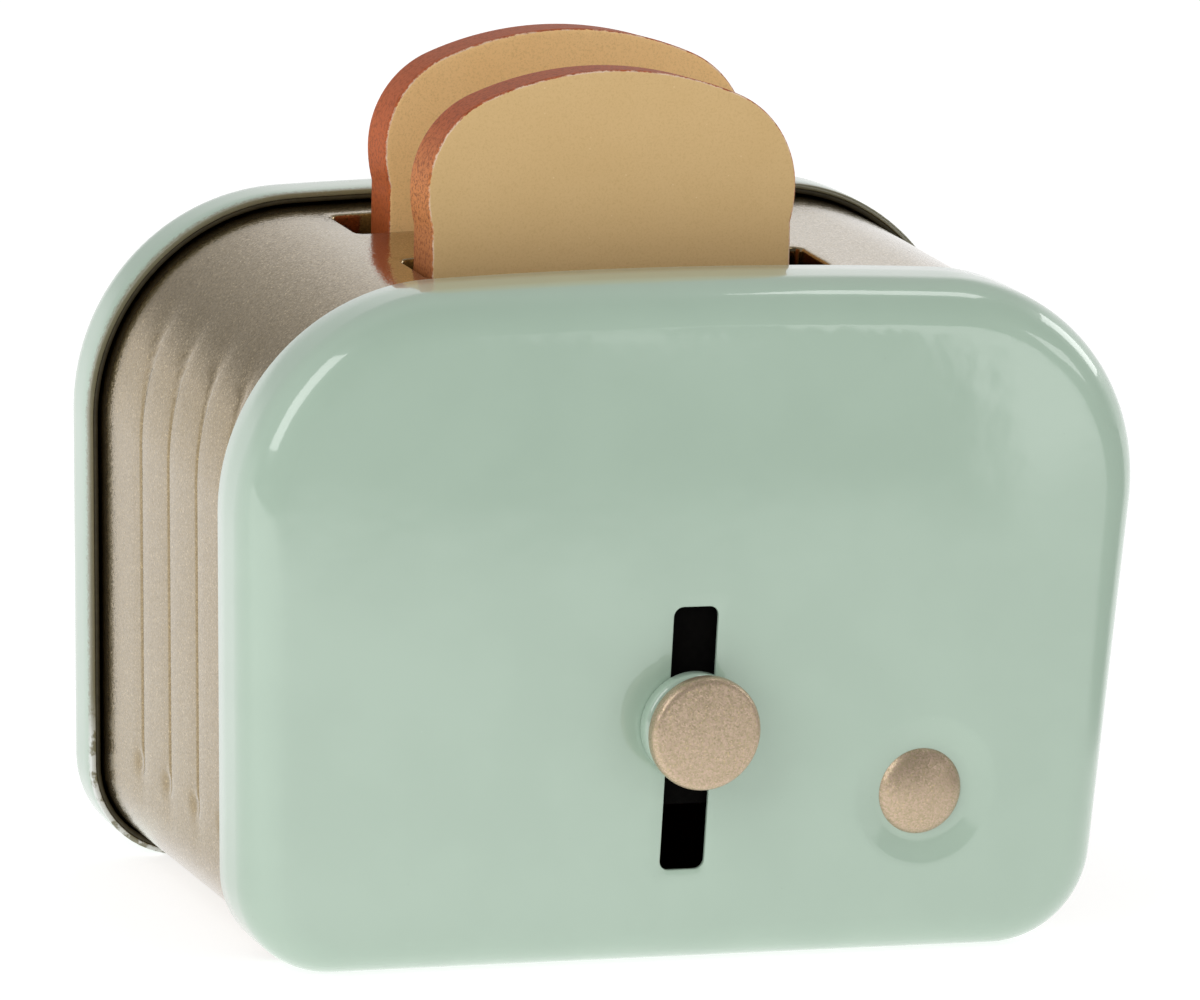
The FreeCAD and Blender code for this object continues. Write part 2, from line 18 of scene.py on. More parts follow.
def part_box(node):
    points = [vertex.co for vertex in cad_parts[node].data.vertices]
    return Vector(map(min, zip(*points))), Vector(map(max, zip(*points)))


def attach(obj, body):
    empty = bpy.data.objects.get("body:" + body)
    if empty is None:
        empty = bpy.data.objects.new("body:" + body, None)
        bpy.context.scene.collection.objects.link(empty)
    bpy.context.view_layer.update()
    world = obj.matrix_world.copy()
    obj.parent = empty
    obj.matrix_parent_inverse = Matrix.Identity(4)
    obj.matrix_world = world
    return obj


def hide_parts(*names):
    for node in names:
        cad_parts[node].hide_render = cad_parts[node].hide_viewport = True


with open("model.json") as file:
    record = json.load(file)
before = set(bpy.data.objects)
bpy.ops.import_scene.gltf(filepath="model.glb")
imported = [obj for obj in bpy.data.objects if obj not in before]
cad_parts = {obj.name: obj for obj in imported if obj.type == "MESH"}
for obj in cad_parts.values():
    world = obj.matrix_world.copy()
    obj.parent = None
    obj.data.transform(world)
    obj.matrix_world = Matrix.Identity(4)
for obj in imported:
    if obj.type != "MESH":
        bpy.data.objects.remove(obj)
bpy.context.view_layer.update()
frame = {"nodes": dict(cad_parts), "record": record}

mm = 0.001

# %% [markdown]
# ## Camera
#
# The picture was taken from the left and a little above, with a long lens, so its verticals hardly
# converge. The camera is a small roll off level, and the body sits a little below the middle of the frame.

# %% Place the camera
camera_distance = 900 * mm
camera_yaw = math.radians(21.26)
camera_pitch = math.radians(13.045)
camera_roll = math.radians(-3.181)
focal_pixels = 12370.5
frame_width_pixels = 1200
sensor_width = 36.0
aim = Vector((0, 1.95, 25)) * mm
aim_right_pixels = -8.3
aim_down_pixels = 59.5

looking = Vector((math.sin(camera_yaw) * math.cos(camera_pitch),
                  math.cos(camera_yaw) * math.cos(camera_pitch), -math.sin(camera_pitch)))
level_right = Vector((math.cos(camera_yaw), -math.sin(camera_yaw), 0))
level_up = level_right.cross(looking)
camera_right = math.cos(camera_roll) * level_right - math.sin(camera_roll) * level_up
camera_up = math.sin(camera_roll) * level_right + math.cos(camera_roll) * level_up
metres_per_pixel = camera_distance / focal_pixels

camera_data = bpy.data.cameras.new("camera")
camera_data.sensor_width = sensor_width
camera_data.sensor_fit = "HORIZONTAL"
camera_data.lens = sensor_width * focal_pixels / frame_width_pixels
camera = bpy.data.objects.new("camera", camera_data)
bpy.context.scene.collection.objects.link(camera)
turn = Matrix((camera_right, camera_up, -looking)).transposed().to_4x4()
sideways = camera_right * aim_right_pixels * metres_per_pixel
upwards = camera_up * aim_down_pixels * metres_per_pixel
camera.matrix_world = Matrix.Translation(aim - looking * camera_distance - sideways + upwards) @ turn
bpy.context.scene.camera = camera
print("lens", round(camera_data.lens, 1), "mm at", camera_distance, "m")

# %% [markdown]
# ## Node helpers
#
# Lamps, floor and finishes are all small networks of nodes. In Blender's editor they are laid out by hand. In
# a script a few short helpers keep each step on one line, so a finish reads from top to bottom as a recipe.

# %% Helpers for node trees
def add_node(tree, kind, links=None, **settings):
    """A node with its settings, its inputs filled from values or from other nodes' sockets."""
    made = tree.nodes.new(kind)
    for name, value in settings.items():
        setattr(made, name, value)
    for name, value in (links or {}).items():
        fill(tree, made.inputs[name], value)
    return made


def fill(tree, socket, value):
    """Link a socket to another node's socket, or set it to a plain value."""
    if isinstance(value, bpy.types.NodeSocket):
        tree.links.new(value, socket)
    else:
        socket.default_value = value


def maths(tree, operation, first, second=0.0, third=0.0):
    """One Math node and its result."""
    return add_node(tree, "ShaderNodeMath", {0: first, 1: second, 2: third}, operation=operation).outputs[0]


def product(tree, first, *others):
    """Several values multiplied together."""
    for other in others:
        first = maths(tree, "MULTIPLY", first, other)
    return first


def smooth_step(tree, value, low, high):
    """0 below low, 1 above high, eased between them."""
    links = {"Value": value, "From Min": low, "From Max": high}
    return add_node(tree, "ShaderNodeMapRange", links, interpolation_type="SMOOTHSTEP").outputs[0]


def fall_away(tree, value, low, high):
    """1 below low, 0 above high, eased between them."""
    return maths(tree, "SUBTRACT", 1.0, smooth_step(tree, value, low, high))


def blend(tree, share, first, second):
    """A colour between two colours."""
    mixer = add_node(tree, "ShaderNodeMix", data_type="RGBA")
    for socket, value in ((mixer.inputs[0], share), (mixer.inputs[6], first), (mixer.inputs[7], second)):
        fill(tree, socket, value)
    return mixer.outputs[2]


def between(tree, share, first, second):
    """A number between two numbers."""
    return add_node(tree, "ShaderNodeMix", {0: share, 2: first, 3: second}).outputs[0]


def own_place(tree):
    """The object's own coordinates in metres, which never slide over a piece when it moves."""
    return add_node(tree, "ShaderNodeTexCoord").outputs["Object"]


def split_axes(tree, vector):
    """The X, Y and Z of a vector."""
    return add_node(tree, "ShaderNodeSeparateXYZ", {0: vector}).outputs


def in_gloss(tree):
    """1 for a ray that a glossy surface sent on, 0 for what the camera and plain paint see."""
    rays = add_node(tree, "ShaderNodeLightPath").outputs
    return maths(tree, "MAXIMUM", rays["Is Glossy Ray"], rays["Is Transmission Ray"])


def rgb(red, green, blue):
    """A colour as it is read off a screen, from 0 to 255, turned into the renderer's linear values."""
    screen = [channel / 255 for channel in (red, green, blue)]
    return [c / 12.92 if c <= 0.04045 else ((c + 0.055) / 1.055) ** 2.4 for c in screen] + [1.0]


def grey(value):
    """A grey in linear values."""
    return (value, value, value, 1.0)


# %% [markdown]
# ## The room
#
# Enamel shows what stands round it, so the room is part of the finish. This one is a product table: a white
# sweep behind the toy, which ends above and towards the left, and a dimmer room on the camera's side. The
# camera itself sees plain white. A photographed room would work too, but a rule can be read and changed.

# %% World: white sweep behind, dimmer room in front
room_fill = 0.5
back_room = 0.46
front_room = 0.12
sweep_top = (0.35, 0.62)
sweep_side = (-0.35, 0.45)
table_haze = (0.05, 0.27)
front_to_back = (-0.35, 0.25)

world = bpy.data.worlds.new("studio")
bpy.context.scene.world = world
world.use_nodes = True
tree = world.node_tree
tree.nodes.clear()
direction = split_axes(tree, add_node(tree, "ShaderNodeTexCoord").outputs["Generated"])
behind = smooth_step(tree, direction["Y"], *front_to_back)
reach = maths(tree, "MAXIMUM", smooth_step(tree, direction["X"], *sweep_side),
              fall_away(tree, direction["Z"], *table_haze))
sweep = product(tree, fall_away(tree, direction["Z"], *sweep_top), reach, behind)
room = between(tree, behind, front_room, back_room)
seen_in_gloss = maths(tree, "MULTIPLY_ADD", sweep, 1.0 - back_room, room)
strength = between(tree, in_gloss(tree), room_fill, seen_in_gloss)
by_camera = add_node(tree, "ShaderNodeLightPath").outputs["Is Camera Ray"]
background = add_node(tree, "ShaderNodeBackground",
                      {"Color": grey(1.0), "Strength": between(tree, by_camera, strength, 1.0)})
output = add_node(tree, "ShaderNodeOutputWorld")
tree.links.new(background.outputs[0], output.inputs["Surface"])
print("room:", len(tree.nodes), "nodes")

# %% [markdown]
# ## Soft boxes
#
# Area lamps are used because gloss shows their shape. The tall one at the left draws the crescent on the
# rolled edge. Two at the right light the right edge and the right side of the button. The small one above
# draws the short streak on the top roll. Each lamp faces the middle of the toy.

# %% Soft box
def soft_box(name, towards, distance, width, height, radiance, lean=0.0):
    """A rectangular lamp of even radiance that faces the toy, its top leaning to the right by an angle."""
    data = bpy.data.lights.new(name, "AREA")
    data.shape = "RECTANGLE"
    data.size = width
    data.size_y = height
    data.energy = radiance * math.pi * width * height
    lamp = bpy.data.objects.new(name, data)
    bpy.context.scene.collection.objects.link(lamp)
    offset = Vector(towards).normalized() * distance
    facing = offset.to_track_quat("Z", "Y").to_matrix().to_4x4()
    leaning = Matrix.Rotation(-math.radians(lean), 4, "Z")
    lamp.matrix_world = Matrix.Translation(aim + offset) @ facing @ leaning
    print(name, round(data.energy, 2), "W")


soft_box("key_left", (-0.72, -0.47, 0.54), 0.9, 0.35, 0.70, 3.4, lean=10)
soft_box("right_low", (0.67, -0.71, 0.17), 0.9, 0.22, 0.16, 2.4)
soft_box("rim_right", (0.89, 0.05, 0.40), 0.9, 0.30, 0.36, 3.6)
soft_box("top_strip", (0.46, -0.19, 0.87), 0.25, 0.04, 0.06, 3.4)

# %% [markdown]
# ## Floor
#
# The floor is a plain pale sheet that keeps the toy's shadow and glows a little, so that it reads as white.
# What lies in front of the toy is outside the picture, but the enamel shows it: the sheet's front edge, a
# white board at the right, a narrow lit patch far off, and a dark table beyond. Only glossy rays see these.
# From below the floor can be seen through, so that the underside of the toy can be looked at.

# %% Floor sheet
floor_half = 3.0
floor_mesh = bpy.data.meshes.new("floor")
floor_mesh.from_pydata([(-floor_half, -floor_half, 0), (floor_half, -floor_half, 0),
                        (floor_half, floor_half, 0), (-floor_half, floor_half, 0)], [], [(0, 1, 2, 3)])
floor = bpy.data.objects.new("floor", floor_mesh)
bpy.context.scene.collection.objects.link(floor)

# %% What lies in front of the toy
sheet_front = (-185 * mm, -125 * mm)
sheet_right = (74 * mm, 96 * mm)
board_slant = 0.36
board_left = (24 * mm, 36 * mm)
board_right = (55 * mm, 80 * mm)
board_far = (-185 * mm, -140 * mm)
patch_left = (-16 * mm, -8 * mm)
patch_right = (2 * mm, 9 * mm)
patch_far = (-430 * mm, -260 * mm)
ripple_scale = 45.0
ripple_width = 30 * mm
under_toy = (-20 * mm, 20 * mm)

floor_paper = bpy.data.materials.new("floor_paper")
floor_paper.use_nodes = True
tree = floor_paper.node_tree
tree.nodes.clear()
place = own_place(tree)
axes = split_axes(tree, place)
slanted = maths(tree, "MULTIPLY_ADD", axes["Y"], board_slant, axes["X"])
sheet_part = product(tree, smooth_step(tree, axes["Y"], *sheet_front),
                     fall_away(tree, axes["X"], *sheet_right))
board_part = product(tree, smooth_step(tree, slanted, *board_left), fall_away(tree, slanted, *board_right))
ripple = add_node(tree, "ShaderNodeTexNoise", {"Vector": place, "Scale": ripple_scale}).outputs["Fac"]
rippled = maths(tree, "MULTIPLY_ADD", maths(tree, "SUBTRACT", ripple, 0.5), ripple_width, slanted)
patch_part = product(tree, smooth_step(tree, rippled, *patch_left), fall_away(tree, rippled, *patch_right),
                     fall_away(tree, axes["Y"], *patch_far))
paper_part = smooth_step(tree, axes["Y"], *under_toy)
for part in (sheet_part, board_part, patch_part):
    paper_part = maths(tree, "MAXIMUM", paper_part, part)
glossy = in_gloss(tree)
beyond = maths(tree, "MULTIPLY", glossy, maths(tree, "SUBTRACT", 1.0, paper_part))

# %% Floor paper
paper_glow = 0.74
extra_left = 0.38
extra_right = -0.16
extra_across = (-40 * mm, 60 * mm)
extra_front = (-40 * mm, -5 * mm)
board_extra = 0.8
paper_shades = (0.48, 0.52)
fibre_scale = 900.0
table_shade = 0.16

extra = between(tree, smooth_step(tree, axes["X"], *extra_across), extra_left, extra_right)
far_board = product(tree, board_part, fall_away(tree, axes["Y"], *board_far))
extra = maths(tree, "MULTIPLY_ADD", far_board, board_extra, extra)
extra = product(tree, glossy, fall_away(tree, axes["Y"], *extra_front), extra)
strength = product(tree, maths(tree, "ADD", extra, paper_glow), maths(tree, "SUBTRACT", 1.0, beyond))
fibres = add_node(tree, "ShaderNodeTexNoise", {"Vector": place, "Scale": fibre_scale}).outputs["Fac"]
shade = blend(tree, fibres, grey(paper_shades[0]), grey(paper_shades[1]))
diffuse = add_node(tree, "ShaderNodeBsdfDiffuse", {"Color": blend(tree, beyond, shade, grey(table_shade))})
glow = add_node(tree, "ShaderNodeEmission", {"Strength": strength})
both = add_node(tree, "ShaderNodeAddShader", {0: diffuse.outputs[0], 1: glow.outputs[0]})
from_below = add_node(tree, "ShaderNodeNewGeometry").outputs["Backfacing"]
see_through = add_node(tree, "ShaderNodeBsdfTransparent")
paper = add_node(tree, "ShaderNodeMixShader", {0: from_below, 1: both.outputs[0], 2: see_through.outputs[0]})
output = add_node(tree, "ShaderNodeOutputMaterial")
tree.links.new(paper.outputs[0], output.inputs["Surface"])
floor_mesh.materials.append(floor_paper)
print("floor paper:", len(tree.nodes), "nodes")

# %% [markdown]
# ## Shared effects
#
# Three effects come back on several finishes, so each is a node group that is built once. Fine grain is
# the orange peel of sprayed enamel and the tooth of the board. Metal flake gives each flake in the champagne
# paint its own brightness and its own tilt. Specks are the dust and pinholes that every hand-sprayed toy has,
# and the pale painted glints on the enamel.

# %% Node group helpers
FLOAT, VECTOR = "NodeSocketFloat", "NodeSocketVector"


def new_group(name, inputs, outputs):
    """A shader node group with number inputs; returns the group and its two end nodes."""
    group = bpy.data.node_groups.new(name, "ShaderNodeTree")
    for label, default in inputs.items():
        group.interface.new_socket(label, in_out="INPUT", socket_type=FLOAT).default_value = default
    for label, kind in outputs.items():
        group.interface.new_socket(label, in_out="OUTPUT", socket_type=kind)
    return group, group.nodes.new("NodeGroupInput"), group.nodes.new("NodeGroupOutput")


def use_group(tree, group, **values):
    """A group placed in a tree, with its own values."""
    return add_node(tree, "ShaderNodeGroup", values, node_tree=group).outputs


def grain_place(tree, size):
    """The object's own coordinates in units of one grain, whose size is in millimetres."""
    scale = maths(tree, "DIVIDE", 1000.0, size)
    return add_node(tree, "ShaderNodeVectorMath",
                    {0: own_place(tree), "Scale": scale}, operation="SCALE").outputs[0]


# %% Fine grain
fine_grain, start, end = new_group("fine_grain", {"Size": 0.4, "Roughness": 0.5}, {"Height": FLOAT})
noise = add_node(fine_grain, "ShaderNodeTexNoise",
                 {"Vector": grain_place(fine_grain, start.outputs["Size"]), "Scale": 1.0, "Detail": 3.0,
                  "Roughness": start.outputs["Roughness"]})
fine_grain.links.new(noise.outputs["Fac"], end.inputs["Height"])
print(fine_grain.name, len(fine_grain.nodes), "nodes")

# %% Metal flake
sparkling_share = (0.93, 0.99)
metal_flake, start, end = new_group("metal_flake", {"Size": 0.12, "Tilt": 0.3},
                                    {"Brightness": FLOAT, "Sparkle": FLOAT, "Normal": VECTOR})
cells = add_node(metal_flake, "ShaderNodeTexVoronoi",
                 {"Vector": grain_place(metal_flake, start.outputs["Size"]), "Scale": 1.0}, feature="F1")
parts = add_node(metal_flake, "ShaderNodeSeparateColor", {0: cells.outputs["Color"]})
metal_flake.links.new(parts.outputs[0], end.inputs["Brightness"])
metal_flake.links.new(smooth_step(metal_flake, parts.outputs[1], *sparkling_share), end.inputs["Sparkle"])
lean = add_node(metal_flake, "ShaderNodeVectorMath",
                {0: cells.outputs["Color"], 1: (0.5, 0.5, 0.5)}, operation="SUBTRACT").outputs[0]
lean = add_node(metal_flake, "ShaderNodeVectorMath",
                {0: lean, "Scale": start.outputs["Tilt"]}, operation="SCALE").outputs[0]
facing = add_node(metal_flake, "ShaderNodeNewGeometry").outputs["Normal"]
facing = add_node(metal_flake, "ShaderNodeVectorMath", {0: facing, 1: lean}, operation="ADD").outputs[0]
facing = add_node(metal_flake, "ShaderNodeVectorMath", {0: facing}, operation="NORMALIZE").outputs[0]
metal_flake.links.new(facing, end.inputs["Normal"])
print(metal_flake.name, len(metal_flake.nodes), "nodes")

# %% Specks
specks, start, end = new_group("specks", {"Spacing": 2.0, "Width": 0.05, "Share": 0.3}, {"Mask": FLOAT})
cells = add_node(specks, "ShaderNodeTexVoronoi",
                 {"Vector": grain_place(specks, start.outputs["Spacing"]), "Scale": 1.0}, feature="F1")
chance = add_node(specks, "ShaderNodeSeparateColor", {0: cells.outputs["Color"]}).outputs[0]
chosen = maths(specks, "LESS_THAN", chance, start.outputs["Share"])
edge = maths(specks, "DIVIDE", start.outputs["Width"], start.outputs["Spacing"])
inside = fall_away(specks, cells.outputs["Distance"], maths(specks, "MULTIPLY", edge, 0.5), edge)
specks.links.new(product(specks, chosen, inside), end.inputs["Mask"])
print(specks.name, len(specks.nodes), "nodes")


# %% [markdown]
# ## Finishes
#
# Each finish is one Principled BSDF, because paint, lacquer and bare metal are all layers that it knows.
# Constants such as the gloss of the coat are set on its own sockets, and only what changes over the surface
# comes through nodes. Relief is given as a height in millimetres, as it would be measured on the paint.

# %% Material helpers
def new_material(name, **constants):
    """A material with one Principled BSDF, its constant inputs set on the shader's own sockets."""
    material = bpy.data.materials.new(name)
    material.use_nodes = True
    tree = material.node_tree
    shader = tree.nodes["Principled BSDF"]
    for label, value in constants.items():
        shader.inputs[label.replace("_", " ")].default_value = value
    return material, tree, shader


def bump(tree, height, distance, normal=None, strength=1.0):
    """A Bump node for a height between 0 and 1 that stands for a distance in metres."""
    links = {"Height": height, "Distance": distance, "Strength": strength}
    if normal is not None:
        links["Normal"] = normal
    return add_node(tree, "ShaderNodeBump", links).outputs[0]


# %% [markdown]
# ### Mint enamel
#
# The panels are sprayed a soft, pale mint and have a clear, hard gloss over it. The two layers are the base
# and the coat of one shader. On the rear panel's free rim the spray of the band's colour has drifted over.
# Near the foot that rim turns pale in mottled patches. Both are masks from the height and the depth of a
# point.

# %% Mint enamel
mint_light = rgb(173, 195, 177)
mint_deep = rgb(170, 192, 174)
dust_dark = rgb(120, 128, 112)
glint_pale = rgb(228, 238, 228)
overspray = rgb(122, 114, 86)
pale_rim_colour = rgb(222, 224, 220)
rear_rim_y = 16.45
drift_ragged = 1.6
drift_edge = (-0.75, 0.15)
pale_patch_heights = (8.0 * mm, 12.5 * mm)
pale_patch_levels = (0.38, 0.5)
peel_height = 0.0015 * mm
wave_height = 0.05 * mm

mint_enamel, tree, shader = new_material(
    "mint_enamel", Roughness=0.3, IOR=1.45, Coat_Weight=1.0, Coat_Roughness=0.045, Coat_IOR=1.6)
patches = use_group(tree, fine_grain, Size=9.0)["Height"]
colour = blend(tree, smooth_step(tree, patches, 0.35, 0.65), mint_light, mint_deep)
dust = use_group(tree, specks, Spacing=1.1, Width=0.045, Share=0.16)["Mask"]
colour = blend(tree, product(tree, dust, 0.35), colour, dust_dark)
# Painted highlight: pale specks laid into the enamel's colour as glints.
glint = use_group(tree, specks, Spacing=1.7, Width=0.05, Share=0.15)["Mask"]
colour = blend(tree, product(tree, glint, 0.3), colour, glint_pale)
axes = split_axes(tree, own_place(tree))
drift = use_group(tree, fine_grain, Size=0.35, Roughness=0.8)["Height"]
past_rim = maths(tree, "MULTIPLY_ADD", axes["Y"], 1000.0, -rear_rim_y)
past_rim = maths(tree, "MULTIPLY_ADD", drift, -drift_ragged, past_rim)
drifted = product(tree, fall_away(tree, past_rim, *drift_edge), maths(tree, "GREATER_THAN", axes["Y"], 0.0))
pale_patch_noise = use_group(tree, fine_grain, Size=1.3, Roughness=0.7)["Height"]
pale_patches = product(tree, fall_away(tree, axes["Z"], *pale_patch_heights), smooth_step(tree, pale_patch_noise, *pale_patch_levels))
colour = blend(tree, product(tree, drifted, 0.9), colour, blend(tree, pale_patches, overspray, pale_rim_colour))
tree.links.new(colour, shader.inputs["Base Color"])
waves = use_group(tree, fine_grain, Size=7.0)["Height"]
peel = use_group(tree, fine_grain, Size=0.55)["Height"]
relief = bump(tree, peel, peel_height, bump(tree, waves, wave_height))
tree.links.new(relief, shader.inputs["Normal"])
tree.links.new(relief, shader.inputs["Coat Normal"])
print(mint_enamel.name, len(tree.nodes), "nodes")

# %% [markdown]
# ### Champagne paint
#
# The band, the knob and the button share a metal paint. Its colour is in its reflections, broken up by the
# flake. On the band it is stoved smooth under a thin coat. On the small turned pieces it is duller and a
# little chalky. One function with named values makes both, so they stay the same paint.

# %% Champagne paint
champagne_gold = rgb(222, 198, 150)
flake_size = 0.11
tooth_height = 0.007 * mm


def champagne_finish(name, light, deep, chalk, roughness, coat, tilt, tooth_size):
    """Champagne paint with its flake: smooth on the stoved band, duller on the small turned pieces."""
    finish, tree, shader = new_material(
        name, Metallic=1.0 - chalk, IOR=1.5, Coat_Weight=coat, Coat_Roughness=0.05, Coat_IOR=1.5)
    flake = use_group(tree, metal_flake, Size=flake_size, Tilt=tilt)
    colour = blend(tree, flake["Brightness"], deep, light)
    colour = blend(tree, product(tree, flake["Sparkle"], 0.4), colour, champagne_gold)
    tree.links.new(colour, shader.inputs["Base Color"])
    cloud = use_group(tree, fine_grain, Size=3.0)["Height"]
    tree.links.new(maths(tree, "MULTIPLY_ADD", cloud, 0.05, roughness), shader.inputs["Roughness"])
    tooth = use_group(tree, fine_grain, Size=tooth_size)["Height"]
    tree.links.new(bump(tree, tooth, tooth_height), shader.inputs["Coat Normal"])
    tree.links.new(bump(tree, tooth, tooth_height, flake["Normal"]), shader.inputs["Normal"])
    print(name, len(tree.nodes), "nodes")
    return finish


champagne = champagne_finish("champagne_paint", rgb(168, 149, 115), rgb(139, 121, 88), chalk=0.0,
                             roughness=0.12, coat=0.48, tilt=0.08, tooth_size=0.26)
champagne_dull = champagne_finish("champagne_paint_turned", rgb(206, 180, 158), rgb(176, 160, 128),
                                  chalk=0.42, roughness=0.36, coat=0.1, tilt=0.16, tooth_size=0.14)

# %% [markdown]
# ### Lacquer, dark paint and steel
#
# Inside, the tin has a yellow lacquer. The folded hem is painted a near-black olive: painted shade of the
# dark gap it sits in. The pieces behind the lever slot are painted almost pure black, as painted shade of the
# dark inside, so the slot looks empty, and the strips and rivets are plain steel.

# %% Lacquered tin
tin_lacquer, tree, shader = new_material("tin_lacquer", Metallic=1.0, Roughness=0.42)
streaks = use_group(tree, fine_grain, Size=1.5)["Height"]
tree.links.new(blend(tree, streaks, rgb(150, 118, 72), rgb(186, 156, 104)), shader.inputs["Base Color"])

# Painted shade: the hem sits in the dark gap between flange and band, so its colour is a near-black olive.
hem_painted_shade, tree, shader = new_material("hem_painted_shade", Roughness=0.6, Specular_IOR_Level=0.3)
hem_shade_mottle = use_group(tree, fine_grain, Size=0.6, Roughness=0.7)["Height"]
tree.links.new(blend(tree, hem_shade_mottle, rgb(40, 36, 22), rgb(78, 71, 50)), shader.inputs["Base Color"])

# %% Dark paint and plain steel
# Painted shade: an almost pure black with hardly any gloss, standing in for the dark inside seen through the
# slot.
shade_black_paint, tree, shader = new_material("shade_black_paint", Specular_IOR_Level=0.02)
grit = use_group(tree, fine_grain, Size=0.5)["Height"]
tree.links.new(blend(tree, grit, grey(0.0015), (0.005, 0.0045, 0.004, 1.0)), shader.inputs["Base Color"])
tree.links.new(maths(tree, "MULTIPLY_ADD", grit, 0.15, 0.8), shader.inputs["Roughness"])

plain_steel, tree, shader = new_material("plain_steel", Metallic=1.0)
grit = use_group(tree, fine_grain, Size=0.25, Roughness=0.7)["Height"]
tree.links.new(blend(tree, grit, rgb(168, 166, 160), rgb(206, 204, 198)), shader.inputs["Base Color"])
tree.links.new(maths(tree, "MULTIPLY_ADD", grit, 0.25, 0.22), shader.inputs["Roughness"])
tree.links.new(bump(tree, grit, 0.004 * mm), shader.inputs["Normal"])
print(tin_lacquer.name, hem_painted_shade.name, shade_black_paint.name, plain_steel.name)

# %% [markdown]
# ### Bread board
#
# The slices are painted fibreboard: a sandy crumb, a red-brown crust that turns to gold lower down, and a
# ragged border that is rubbed pale along the arris. Near the slot the crust is darkened as painted shade. The
# mesh carries an attribute that counts millimetres over the arris, and noise added to it makes the border
# ragged. The rear slice is a brighter, yellower copy of the paint, as painted light from behind.

# %% Bread board
crumb_pore = rgb(194, 158, 104)
crumb_pale = rgb(240, 216, 170)
crust_red = rgb(176, 92, 56)
worn_white = rgb(232, 208, 182)
border_ragged = 0.44
gold_to_red = (53 * mm, 60 * mm)
painted_slot_shade = (46 * mm, 55 * mm)


def bread_finish(name, crumb_light, crumb_deep, crust_gold, crust_dark_and_shade):
    """Crumb and crust in matt paint, divided by the ragged line that the brush left along the arris."""
    finish, tree, shader = new_material(name, Roughness=0.55, Specular_IOR_Level=0.15)
    crumb = blend(tree, use_group(tree, fine_grain, Size=6.0)["Height"], crumb_light, crumb_deep)
    pores = use_group(tree, fine_grain, Size=0.16, Roughness=0.8)["Height"]
    crumb = blend(tree, product(tree, smooth_step(tree, pores, 0.45, 0.7), 0.4), crumb, crumb_pore)
    pale = use_group(tree, specks, Spacing=0.9, Width=0.07, Share=0.35)["Mask"]
    crumb = blend(tree, product(tree, pale, 0.5), crumb, crumb_pale)
    dark = use_group(tree, specks, Spacing=2.3, Width=0.07, Share=0.3)["Mask"]
    crumb = blend(tree, product(tree, dark, 0.4), crumb, crumb_pore)

    height = split_axes(tree, own_place(tree))["Z"]
    crust = blend(tree, smooth_step(tree, height, *gold_to_red), crust_gold, crust_red)
    grain = use_group(tree, fine_grain, Size=0.3, Roughness=0.8)["Height"]
    crust = blend(tree, product(tree, smooth_step(tree, grain, 0.46, 0.62), 0.7), crust, crust_dark_and_shade)
    # Painted shade: the crust darkens towards the slot, where the band shades it.
    crust = blend(tree, product(tree, fall_away(tree, height, *painted_slot_shade), 0.7), crust, crust_dark_and_shade)

    wrap = add_node(tree, "ShaderNodeAttribute", attribute_name="wrap").outputs["Fac"]
    ragged = use_group(tree, fine_grain, Size=0.4, Roughness=0.85)["Height"]
    ragged = maths(tree, "MULTIPLY_ADD", ragged, border_ragged, -border_ragged / 2)
    line = maths(tree, "ADD", wrap, ragged)
    colour = blend(tree, smooth_step(tree, line, -0.02, 0.02), crust, crumb)
    rubbed = use_group(tree, fine_grain, Size=2.2, Roughness=0.8)["Height"]
    rubbed = product(tree, fall_away(tree, maths(tree, "ABSOLUTE", line), 0.02, 0.12),
                     smooth_step(tree, rubbed, 0.4, 0.6), 0.8)
    tree.links.new(blend(tree, rubbed, colour, worn_white), shader.inputs["Base Color"])
    tree.links.new(bump(tree, pores, 0.02 * mm, strength=0.5), shader.inputs["Normal"])
    print(name, len(tree.nodes), "nodes")
    return finish


bread_front_paint = bread_finish("bread_board", rgb(221, 188, 136), rgb(214, 180, 126),
                                 crust_gold=rgb(218, 142, 82), crust_dark_and_shade=rgb(122, 60, 34))
# Painted light: the rear slice is a brighter, yellower copy of the same paint, for the light that reaches it
# from behind.
bread_rear_lit_paint = bread_finish("bread_board_rear_lit", rgb(247, 208, 150), rgb(242, 198, 136),
                                crust_gold=rgb(204, 104, 50), crust_dark_and_shade=rgb(140, 66, 30))

# %% [markdown]
# ## The body's outline
#
# Panels and band share one outline: a level foot, two leaning sides and a gently arched top, with a round
# corner where they meet. Every arc keeps its centre when the outline is set inwards, so one list of
# points with their outward directions gives each ring of each pressing.

# %% Outline points
panel_height = 50.0
shoulder_width = 70.0
base_width = 64.6
top_rise = 1.5
top_corner_radius = 15.7
bottom_corner_radius = 7.4
outline_spacing = 0.7


